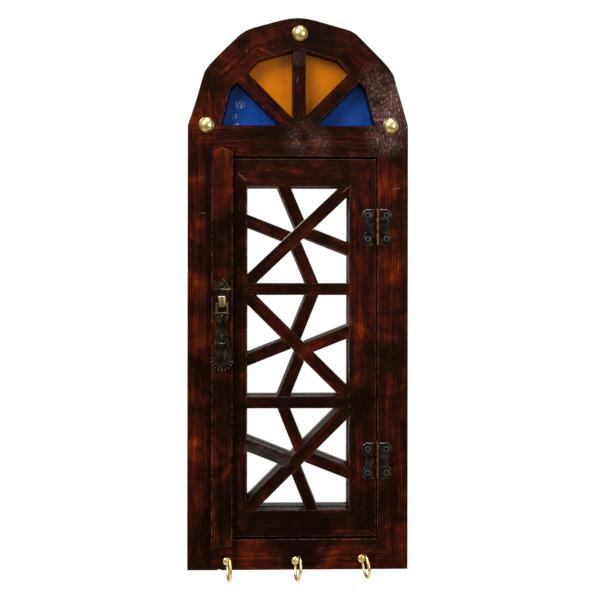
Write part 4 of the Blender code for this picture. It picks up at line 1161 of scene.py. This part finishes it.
def hinges():
    for level in ("upper", "lower"):
        hinge_leaf(level, "cabinet", 1)
        hinge_leaf(level, "door", -1)
        hinge_pin(level)
    tree = screw_tree(BRONZE)
    for word, body in (("frame", "cabinet"), ("door", "door")):
        nodes = ["screw_%s_%s_%s" % (level, word, end) for level in ("upper", "lower")
                 for end in ("high", "low")]
        boxes = [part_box(node) for node in nodes]
        points = [((lo.x + hi.x) / 2, hi.y, (lo.z + hi.z) / 2) for lo, hi in boxes]
        low, high = boxes[0]
        sizes = {"Head Radius": (high.x - low.x) / 2, "Head Height": high.y - low.y,
                 "Seed": 3 if word == "frame" else 8}
        mesh = grow("hinge_screws_" + word, tree, sizes, points)
        finish_piece("bronze_screws_" + word, mesh, body, None, nodes, 40)


# ---------------------------------------------------------------- drop pull

SWING = JOINT_AT["pull_swing"]


def lookup(table, z):
    """Half width at a height, from a list of (half width, height) going down."""
    for (w0, z0), (w1, z1) in zip(table, table[1:]):
        if z1 <= z <= z0:
            t = (z0 - z) / (z0 - z1)
            t = t * t * (3 - 2 * t) * 0.5 + t * 0.5
            return w0 + (w1 - w0) * t
    return table[-1][0] if z < table[-1][1] else table[0][0]


def bump_at(value, middle, width):
    """A smooth bump of height 1 round a middle, gone at its width."""
    away = abs(value - middle) / width
    return 0.0 if away >= 1 else (1 + math.cos(math.pi * away)) / 2


def casting(bm, table, relief, back, thickness, rows, columns):
    """A flat-backed casting laid out in rows: its half widths come from a table, and its face
    stands as far forward as the relief says. Sizes are in millimetres from the swing axis."""
    wear = bm.verts.layers.float.get("wear") or bm.verts.layers.float.new("wear")
    top, bottom = table[0][1], table[-1][1]
    rings = []
    for i in range(rows + 1):
        z = top + (bottom - top) * i / rows
        half = max(lookup(table, z), 0.5)
        front, rear = [], []
        for k in range(columns + 1):
            u = math.sin(math.pi / 2 * (2 * k / columns - 1))
            height, rub = relief(u * half, z, half)
            rim = min(1.0, 0.35 + 0.65 * math.sqrt(max(0.0, half * (1 - abs(u)) / 0.8)))
            front.append(((u * half, height * min(rim, 1.0)), rub))
            rear.append(u * half)
        ring = []
        for (x, height), rub in front:
            v = bm.verts.new((SWING.x + x * MM, back - height * thickness, SWING.z + z * MM))
            v[wear] = rub
            ring.append(v)
        for x in reversed(rear):
            v = bm.verts.new((SWING.x + x * MM, back, SWING.z + z * MM))
            ring.append(v)
        rings.append(ring)
    count = len(rings[0])
    for a, b in zip(rings, rings[1:]):
        for k in range(count):
            m = (k + 1) % count
            bm.faces.new([a[k], a[m], b[m], b[k]])
    bm.faces.new(rings[0])
    bm.faces.new(rings[-1])


PLATE_HALF = ((0, 22.5), (2.6, 21.9), (4.6, 19.6), (6.2, 16.6), (7.8, 14.0), (6.9, 12.6), (6.2, 9.4),
              (6.9, 6.9), (6.6, 2.4), (6.0, -2.6), (6.4, -6.6), (5.2, -10.1), (3.0, -13.1), (0, -14.2))


def plate_relief(x, z, half):
    """Crown with a raised rim and a small boss, a moulding under it, and a plain field."""
    edge = half - abs(x)
    rim = bump_at(edge, 0.7, 0.9)
    height = 0.55 + 0.3 * rim
    rub = 0.35 * rim
    if z > 12.2:
        crown = max(rim, bump_at(z, 13.3, 0.9))
        height = 0.45 + 0.55 * crown
        rub = 0.95 * crown * (0.75 + 0.25 * math.copysign(1, x))
        leaf = bump_at(math.hypot(x, (z - 17.4) * 0.75), 0, 2.0)
        crescent = bump_at(math.hypot(x, z - 16.6), 3.0, 0.8) if z < 16.6 else 0
        height = max(height, 0.45 + 0.5 * leaf, 0.45 + 0.4 * crescent)
        rub = max(rub, 0.45 * leaf, 0.55 * crescent)
    moulding = bump_at(z, 10.6, 0.7) * (abs(x) < half - 0.5)
    return max(height, 0.55 + 0.35 * moulding), max(rub, 0.3 * moulding)


DROP_HALF = ((3.0, -5.6), (6.6, -6.4), (7.2, -9.0), (6.2, -12.0), (4.5, -14.4), (4.1, -17.6),
             (4.7, -24.6), (5.6, -30.6), (6.6, -36.1), (8.1, -41.1), (9.3, -45.3), (9.7, -48.9))
SHELL_Z, SHELL_R, SHELL_LOBE_H, SHELL_LOBES = -49.7, 10.2, 1.2, 9
ROSETTE_Z = -48.6


def drop_relief(x, z, half):
    """Two volutes and a leaf on the shoulder, a fluted neck with a plain stripe, and flutes
    that fan out down the skirt."""
    edge = half - abs(x)
    rim = bump_at(edge, 0.6, 0.8)
    height, rub = 0.62 + 0.2 * rim, 0.4 * rim
    if z > -13.5:
        turn = math.hypot(abs(x) - 4.0, z + 9.2)
        volute = max(bump_at(turn, 2.3, 0.8), bump_at(turn, 0, 0.9))
        leaf = bump_at(x / max(0.4, 1.5 - abs(z + 10) * 0.3), 0, 1)
        brow = bump_at(z + 7.2 + 0.12 * abs(x), 0, 0.7)
        height = 0.55 + 0.45 * max(volute, leaf, brow)
        rub = max(0.5 * volute, 0.75 * leaf, 0.7 * brow)
    elif z > -37.5:
        share = x / half
        flute = 0.5 + 0.5 * math.cos(share * math.pi * 4)
        height = 0.58 + 0.3 * flute
        rub = 0.3 * flute + 0.25 * rim
        stripe = bump_at(x, 0, 1.3) * bump_at(z, -29, 5.5) ** 0.3
        bar = bump_at(z, -34.6, 0.7) * (abs(x) < 2.5)
        height = max(height, 0.6 + 0.4 * stripe, 0.6 + 0.4 * bar)
        rub = max(rub, 0.6 * stripe, 0.85 * bar)
    else:
        share = x / half
        flute = 0.5 + 0.5 * math.cos(share * math.pi * 6)
        height = 0.60 + 0.3 * flute
        rub = 0.35 * flute ** 2
    return height, rub


def shell(bm, back, thickness, rings, sides):
    """The round scalloped foot of the drop, fluted from its middle to each scallop."""
    wear = bm.verts.layers.float["wear"]
    middle = Vector((SWING.x, 0, SWING.z + SHELL_Z * MM))

    def rim_radius(angle):
        if math.sin(angle) > 0:
            return SHELL_R - SHELL_LOBE_H
        return SHELL_R - SHELL_LOBE_H * (1 - abs(math.sin(SHELL_LOBES * angle)))

    layers = []
    for i in range(rings + 1):
        share = i / rings
        layer = []
        for k in range(sides):
            angle = k * math.tau / sides
            radius = rim_radius(angle) * share
            flute = abs(math.sin(SHELL_LOBES * angle)) * share
            fall = math.sqrt(max(0.0, 1 - share ** 6))
            height = (0.40 + 0.35 * flute) * (0.3 + 0.7 * fall) + 0.1
            at = middle + Vector((math.cos(angle), 0, math.sin(angle))) * radius * MM
            v = bm.verts.new((at.x, back - height * thickness, at.z))
            v[wear] = 0.45 * flute ** 3 if share > 0.5 else 0.1
            layer.append(v)
        layers.append(layer)
    rear = [bm.verts.new((v.co.x, back, v.co.z)) for v in layers[-1]]
    layers.append(rear)
    skin(bm, layers)
    bm.faces.new(rear)


def add_slab(bm, low, high, bevel, rub):
    """A small block with softened edges, joined into a casting."""
    wear = bm.verts.layers.float["wear"]
    edges = list({e for v in block(bm, low, high) for e in v.link_edges})
    soft = bmesh.ops.bevel(bm, geom=edges, offset=bevel, segments=3, profile=0.5,
                           affect="EDGES", clamp_overlap=True)
    for v in set(soft["verts"]):
        v[wear] = rub


def pull_plate():
    low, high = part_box("pull_backplate")
    bm = bmesh.new()
    casting(bm, PLATE_HALF, plate_relief, high.y, high.y - low.y, 150, 44)
    bmesh.ops.recalc_face_normals(bm, faces=bm.faces)
    finish_piece("bronze_pull_backplate", bm, "door", PULL_BRONZE,
                 ["pull_backplate"], 60)


def pull_loop():
    """Brass band with rounded corners and an eye through it from side to side."""
    low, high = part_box("pull_loop")
    corner, wall = 1.3 * MM, 1.2 * MM
    middle = (low + high) / 2

    def rounded(half_y, half_z, radius):
        points = []
        for i in range(4):
            sy, sz = ((1, 1), (-1, 1), (-1, -1), (1, -1))[i]
            for k in range(7):
                angle = math.pi / 2 * (i + k / 6)
                points.append((sy * (half_y - radius) + radius * math.cos(angle),
                               sz * (half_z - radius) + radius * math.sin(angle)))
        return points

    half_y, half_z = (high.y - low.y) / 2, (high.z - low.z) / 2
    outer = rounded(half_y, half_z, corner)
    inner = rounded(half_y - wall, half_z - wall, corner * 0.6)
    bm = bmesh.new()
    tarnish = bm.verts.layers.float.new("tarnish")
    soft = 0.45 * MM
    rings = []
    for points, x, inset, brown in ((outer, low.x, soft, 0.9), (outer, low.x + soft, 0, 0.5),
                                    (outer, middle.x - 1.3 * MM, 0, 0.26), (outer, middle.x, 0, 0.95),
                                    (outer, middle.x + 1.3 * MM, 0, 0.26),
                                    (outer, high.x - soft, 0, 0.5), (outer, high.x, soft, 0.9),
                                    (inner, high.x, 0, 1), (inner, low.x, 0, 1)):
        ring = []
        for y, z in points:
            scale = 1 - inset / half_y * 0.5
            v = bm.verts.new((x, middle.y + y * scale, middle.z + z * (1 - inset / half_z * 0.5)))
            # Browner towards its foot, where the drop rubs
            v[tarnish] = min(1.0, brown + max(0.0, 0.35 - z / half_z) * 0.45)
            ring.append(v)
        rings.append(ring)
    skin(bm, rings + rings[:1])
    bmesh.ops.recalc_face_normals(bm, faces=bm.faces)
    finish_piece("brass_pull_loop", bm, "door", BRASS, ["pull_loop"], 50)


def pull_drop():
    low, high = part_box("pull_drop")
    bm = bmesh.new()
    thick = high.y - low.y
    casting(bm, DROP_HALF, drop_relief, high.y, thick, 260, 56)
    shell(bm, high.y, thick * 1.05, 14, 180)
    inner, outer, bar_r = 3.6 * MM, 5.8 * MM, 0.9 * MM
    for side in (-1, 1):
        reach = sorted((SWING.x + side * inner, SWING.x + side * outer))
        add_slab(bm, (reach[0], low.y + 0.1 * MM, SWING.z - 8 * MM),
                 (reach[1], high.y - 0.1 * MM, SWING.z + 1.6 * MM), 0.6 * MM, 0.5)
    wear = bm.verts.layers.float["wear"]
    bar = bmesh.ops.create_cone(bm, cap_ends=True, segments=20, radius1=bar_r, radius2=bar_r,
                                depth=2 * (inner + 1 * MM),
                                matrix=Matrix.Translation(SWING) @ Matrix.Rotation(
                                    math.radians(90), 4, "Y"))
    for v in bar["verts"]:
        v[wear] = 0.6
    bmesh.ops.recalc_face_normals(bm, faces=bm.faces)
    finish_piece("bronze_pull_drop", bm, "pull", PULL_BRONZE, ["pull_drop"], 60)

    tree = petal_tree(PULL_BRONZE)
    depth = high.y - thick * 0.62
    petals = grow("rosette", tree, {"Count": 15, "Arc Radius": 4.0 * MM, "Start Angle": 0.1,
                                    "Sweep": math.tau * 14 / 15, "Length": 2.9 * MM, "Width": 0.6 * MM,
                                    "Height": 0.95 * MM, "Rub": 0.42},
                  [(SWING.x, depth, SWING.z + ROSETTE_Z * MM)])
    finish_piece("bronze_pull_rosette", petals, "pull", None, (), 60)
    beads = grow("scallop_beads", tree, {"Count": 9, "Arc Radius": 9.15 * MM,
                                         "Start Angle": math.radians(190), "Sweep": math.radians(160),
                                         "Length": 1.0 * MM, "Width": 0.7 * MM, "Height": 0.9 * MM,
                                         "Rub": 0.52}, [(SWING.x, depth, SWING.z + SHELL_Z * MM)])
    finish_piece("bronze_pull_beads", beads, "pull", None, (), 60)


# ---------------------------------------------------------------- back and inside

def sheet_from(node, edge, name, material):
    bm = cad_copy(node)
    round_edges(bm, edge, least=20, segments=2)
    return finish_piece(name, bm, BODY_OF[node], material, [node], even=True)


def pin_tree(material):
    """Domed pins at points, facing +Y, for boards that are pinned on from behind."""
    tree, size = new_tree("panel_pins", {"Head Radius": "Float", "Head Height": "Float"})
    head = add(tree, "GeometryNodeMeshUVSphere", {"Segments": 16, "Rings": 8, "Radius": 1.0})
    scale = add(tree, "ShaderNodeCombineXYZ", {"X": size["Head Radius"], "Y": size["Head Height"],
                                               "Z": size["Head Radius"]})
    sized = add(tree, "GeometryNodeTransform", {"Geometry": head, "Scale": scale})
    put = add(tree, "GeometryNodeInstanceOnPoints", {"Points": size["Geometry"], "Instance": sized})
    close_tree(tree, put, material)
    return tree


def key_hook_tree(material):
    """Wire key hooks at points: out along -Y, bent up, with a ball on the tip."""
    tree, size = new_tree("key_hooks", {"Wire Radius": "Float", "Reach": "Float",
                                        "Rise": "Float", "Ball Radius": "Float"})
    out = add(tree, "ShaderNodeMath", {0: size["Reach"], 1: -1.0}, operation="MULTIPLY")
    corner = add(tree, "ShaderNodeCombineXYZ", {"Y": out})
    tip = add(tree, "ShaderNodeCombineXYZ", {"Y": out, "Z": size["Rise"]})
    path = add(tree, "GeometryNodeCurveQuadraticBezier", {"Resolution": 24, "Start": (0, 0, 0),
                                                          "Middle": corner, "End": tip})
    ring = add(tree, "GeometryNodeCurvePrimitiveCircle", {"Resolution": 14,
                                                          "Radius": size["Wire Radius"]})
    wire = add(tree, "GeometryNodeCurveToMesh", {"Curve": path, "Profile Curve": ring,
                                                 "Fill Caps": True})
    ball = add(tree, "GeometryNodeMeshUVSphere", {"Segments": 16, "Rings": 10,
                                                  "Radius": size["Ball Radius"]})
    ball = add(tree, "GeometryNodeTransform", {"Geometry": ball, "Translation": tip})
    both = add(tree, "GeometryNodeJoinGeometry", {"Geometry": [wire, ball]})
    put = add(tree, "GeometryNodeInstanceOnPoints", {"Points": size["Geometry"], "Instance": both})
    close_tree(tree, put, material)
    return tree


RACK_HOOKS = 4
RACK_END = 12 * MM
RACK_T = 1.5 * MM
WIRE_R = 1.1 * MM


def key_racks():
    hooks, screws = key_hook_tree(BRASS), screw_tree(ZINC)
    for word in ("upper", "lower"):
        node = "key_rack_" + word
        low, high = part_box(node)
        middle_z = low.z + 6 * MM
        strip = slab((low.x, high.y - RACK_T, low.z), (high.x, high.y, low.z + 12 * MM), 0.5 * MM)
        finish_piece("brass_rack_strip_" + word, strip, "cabinet", BRASS, [node], 60)
        pitch = (high.x - low.x - 2 * RACK_END) / (RACK_HOOKS - 1)
        points = [(low.x + RACK_END + i * pitch, high.y - RACK_T / 2, middle_z)
                  for i in range(RACK_HOOKS)]
        reach = high.y - RACK_T / 2 - low.y - WIRE_R
        mesh = grow(node + "_hooks", hooks,
                    {"Wire Radius": WIRE_R, "Reach": reach, "Rise": high.z - middle_z - 1.4 * MM,
                     "Ball Radius": 1.4 * MM}, points)
        finish_piece("brass_rack_hooks_" + word, mesh, "cabinet", None, [node], 50)
        ends = [(x, high.y - RACK_T, middle_z) for x in (low.x + 5 * MM, high.x - 5 * MM)]
        mesh = grow(node + "_screws", screws, {"Head Radius": 2.2 * MM, "Head Height": 1.2 * MM,
                                               "Seed": 5}, ends)
        finish_piece("zinc_rack_screws_" + word, mesh, "cabinet", None, (), 40)


def back_and_inside():
    rasp(sheet_from("back_panel", 0.5 * MM, "hardboard_back_panel", BOARD))
    sheet_from("fan_backing", 0.4 * MM, "hardboard_fan_backing", BOARD)
    sheet_from("mirror_backer", 0.4 * MM, "hardboard_mirror_backer", BOARD)
    pins = pin_tree(ZINC)
    low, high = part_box("mirror_backer")
    inset, rows = 3 * MM, 6
    points = []
    for i in range(rows + 1):
        z = low.z + inset + (high.z - low.z - 2 * inset) * i / rows
        points += [(low.x + inset, high.y, z), (high.x - inset, high.y, z)]
    points += [(0, high.y, low.z + inset), (0, high.y, high.z - inset)]
    mesh = grow("backer_pins", pins, {"Head Radius": 1.3 * MM, "Head Height": 0.35 * MM}, points)
    finish_piece("zinc_backer_pins", mesh, "door", None, (), 60)

    # Pins that hold the back panel to the frame, sunk just below the wall face
    low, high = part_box("back_panel")
    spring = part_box("rail_header")[1].z
    inset, sunk = 10 * MM, 0.4 * MM
    points = []
    rows = 7
    for i in range(rows):
        z = low.z + inset + (spring - low.z - 2 * inset) * i / (rows - 1)
        points += [(low.x + inset, high.y - sunk, z), (high.x - inset, high.y - sunk, z)]
    points += [(x * MM, high.y - sunk, low.z + inset) for x in (-45, 0, 45)]
    reach = high.z - spring - inset
    points += [(reach * math.cos(math.radians(a)), high.y - sunk,
                spring + reach * math.sin(math.radians(a))) for a in (15, 44, 75, 105, 136, 165)]
    mesh = grow("panel_pins", pins, {"Head Radius": 1.4 * MM, "Head Height": 0.38 * MM}, points)
    finish_piece("zinc_panel_pins", mesh, "cabinet", None, (), 60)

    screws = screw_tree(ZINC)
    for word in ("left", "right"):
        node = "hanger_plate_" + word
        sheet_from(node, 0.25 * MM, "zinc_" + node, ZINC)
        low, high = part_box(node)
        middle = (low.x + high.x) / 2
        points = [(middle, low.y, low.z + 3.2 * MM), (middle, low.y, high.z - 3.2 * MM)]
        mesh = grow(node + "_screws", screws, {"Head Radius": 2.0 * MM, "Head Height": 1.1 * MM,
                                               "Seed": 11}, points)
        finish_piece("zinc_hanger_screws_" + word, mesh, "cabinet", None, (), 40)

    low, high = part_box("magnet_catch")
    body = slab(low, (high.x, high.y, high.z), 0.9 * MM)
    finish_piece("plastic_magnet_catch", body, "cabinet", PLASTIC,
                 ["magnet_catch"], 60)
    bm = bmesh.new()
    bm.verts.layers.float.new("wear")
    for x in (low.x + 2.6 * MM, high.x - 3.8 * MM):
        add_slab(bm, (x, low.y - 0.15 * MM, low.z + 6 * MM),
                 (x + 1.2 * MM, low.y + 1 * MM, high.z - 6 * MM), 0.15 * MM, 0.0)
    finish_piece("zinc_catch_poles", bm, "cabinet", ZINC, (), 50)
    sheet_from("catch_strike", 0.3 * MM, "zinc_catch_strike", ZINC)


# ---------------------------------------------------------------- stage, light and camera

def stage():
    bm = bmesh.new()
    bmesh.ops.create_grid(bm, x_segments=1, y_segments=1, size=1.6)
    mesh = mesh_of(bm, "floor")
    material, _, shader = new_material("pale_floor", Roughness=0.9, IOR=1.4)
    surface(shader, linear("#e9e8e6"))
    mesh.materials.append(material)
    mesh.transform(Matrix.Translation((0, 0.2, -1.15)))
    new_object("floor", mesh)


def studio():
    """A white room: sharp reflections and the camera see it white; it lights softly."""
    scene = bpy.context.scene
    scene.view_settings.view_transform = "Standard"
    world = bpy.data.worlds.new("white_room")
    scene.world = world
    world.use_nodes = True
    tree = world.node_tree
    tree.nodes.clear()
    path = add(tree, "ShaderNodeLightPath")
    # Light that reaches wood or metal by way of the mirror is the soft room light
    bounces = add(tree, "ShaderNodeMath", {0: path.outputs["Diffuse Depth"],
                                           1: path.outputs["Glossy Depth"]}, operation="ADD")
    straight = add(tree, "ShaderNodeMath", {0: bounces, 1: 1.5}, operation="LESS_THAN")
    straight = add(tree, "ShaderNodeMath", {0: straight, 1: path.outputs["Is Singular Ray"]},
                   operation="MULTIPLY")
    sharp = add(tree, "ShaderNodeMath", {0: path.outputs["Is Camera Ray"], 1: straight},
                operation="MAXIMUM")
    white = add(tree, "ShaderNodeBackground", {"Color": linear("#ffffff"), "Strength": 1.14})
    way = add(tree, "ShaderNodeTexCoord").outputs["Generated"]
    height = add(tree, "ShaderNodeSeparateXYZ", {"Vector": way})
    room = add(tree, "ShaderNodeMapRange", {"Value": height.outputs["Z"], "From Min": -0.6,
                                            "From Max": 0.9, "To Min": 0.25, "To Max": 0.75})
    soft = add(tree, "ShaderNodeBackground", {"Color": linear("#ffffff"), "Strength": room})
    mixed = add(tree, "ShaderNodeMixShader", {0: sharp, 1: soft, 2: white})
    add(tree, "ShaderNodeOutputWorld", {"Surface": mixed})
    # (name, where, size in metres, watts); all of them aim at the cabinet's middle
    for name, at, width, watts in (("key", (-0.9, -1.2, 1.1), 0.8, 26),
                                   ("fill", (1.2, -1.3, 0.2), 0.9, 9),
                                   ("top", (0.1, -0.25, 1.3), 0.6, 9)):
        lamp = bpy.data.lights.new(name, "AREA")
        lamp.shape = "SQUARE"
        lamp.size = width
        lamp.energy = watts
        light = new_object(name, lamp)
        light.location = at
        light.rotation_euler = (-Vector(at)).to_track_quat("-Z", "Y").to_euler()


def camera():
    """Level with the cabinet's middle, a metre in front and a little to its left."""
    lens = bpy.data.cameras.new("camera")
    lens.lens = 63.07
    lens.sensor_width = 36
    lens.shift_x = 0.03
    lens.shift_y = -0.05
    view = new_object("camera", lens)
    pitch, yaw, roll = 0.0228, -1.7745, -0.0813
    view.matrix_world = (Matrix.Translation((-44 * MM, -1000 * MM, 21 * MM))
                         @ Matrix.Rotation(math.radians(yaw), 4, "Z")
                         @ Matrix.Rotation(math.radians(90 + pitch), 4, "X")
                         @ Matrix.Rotation(math.radians(-roll), 4, "Z"))
    bpy.context.scene.camera = view


def main():
    stage()
    studio()
    camera()
    frame_boards()
    door_boards()
    for word, flip in (("lower", False), ("middle", True), ("upper", False)):
        lattice_bars("lattice_star_" + word, flip)
    mirror()
    panes()
    dome_nails()
    cup_hooks()
    frame_brads()
    hinges()
    pull_plate()
    pull_loop()
    pull_drop()
    back_and_inside()
    key_racks()


main()
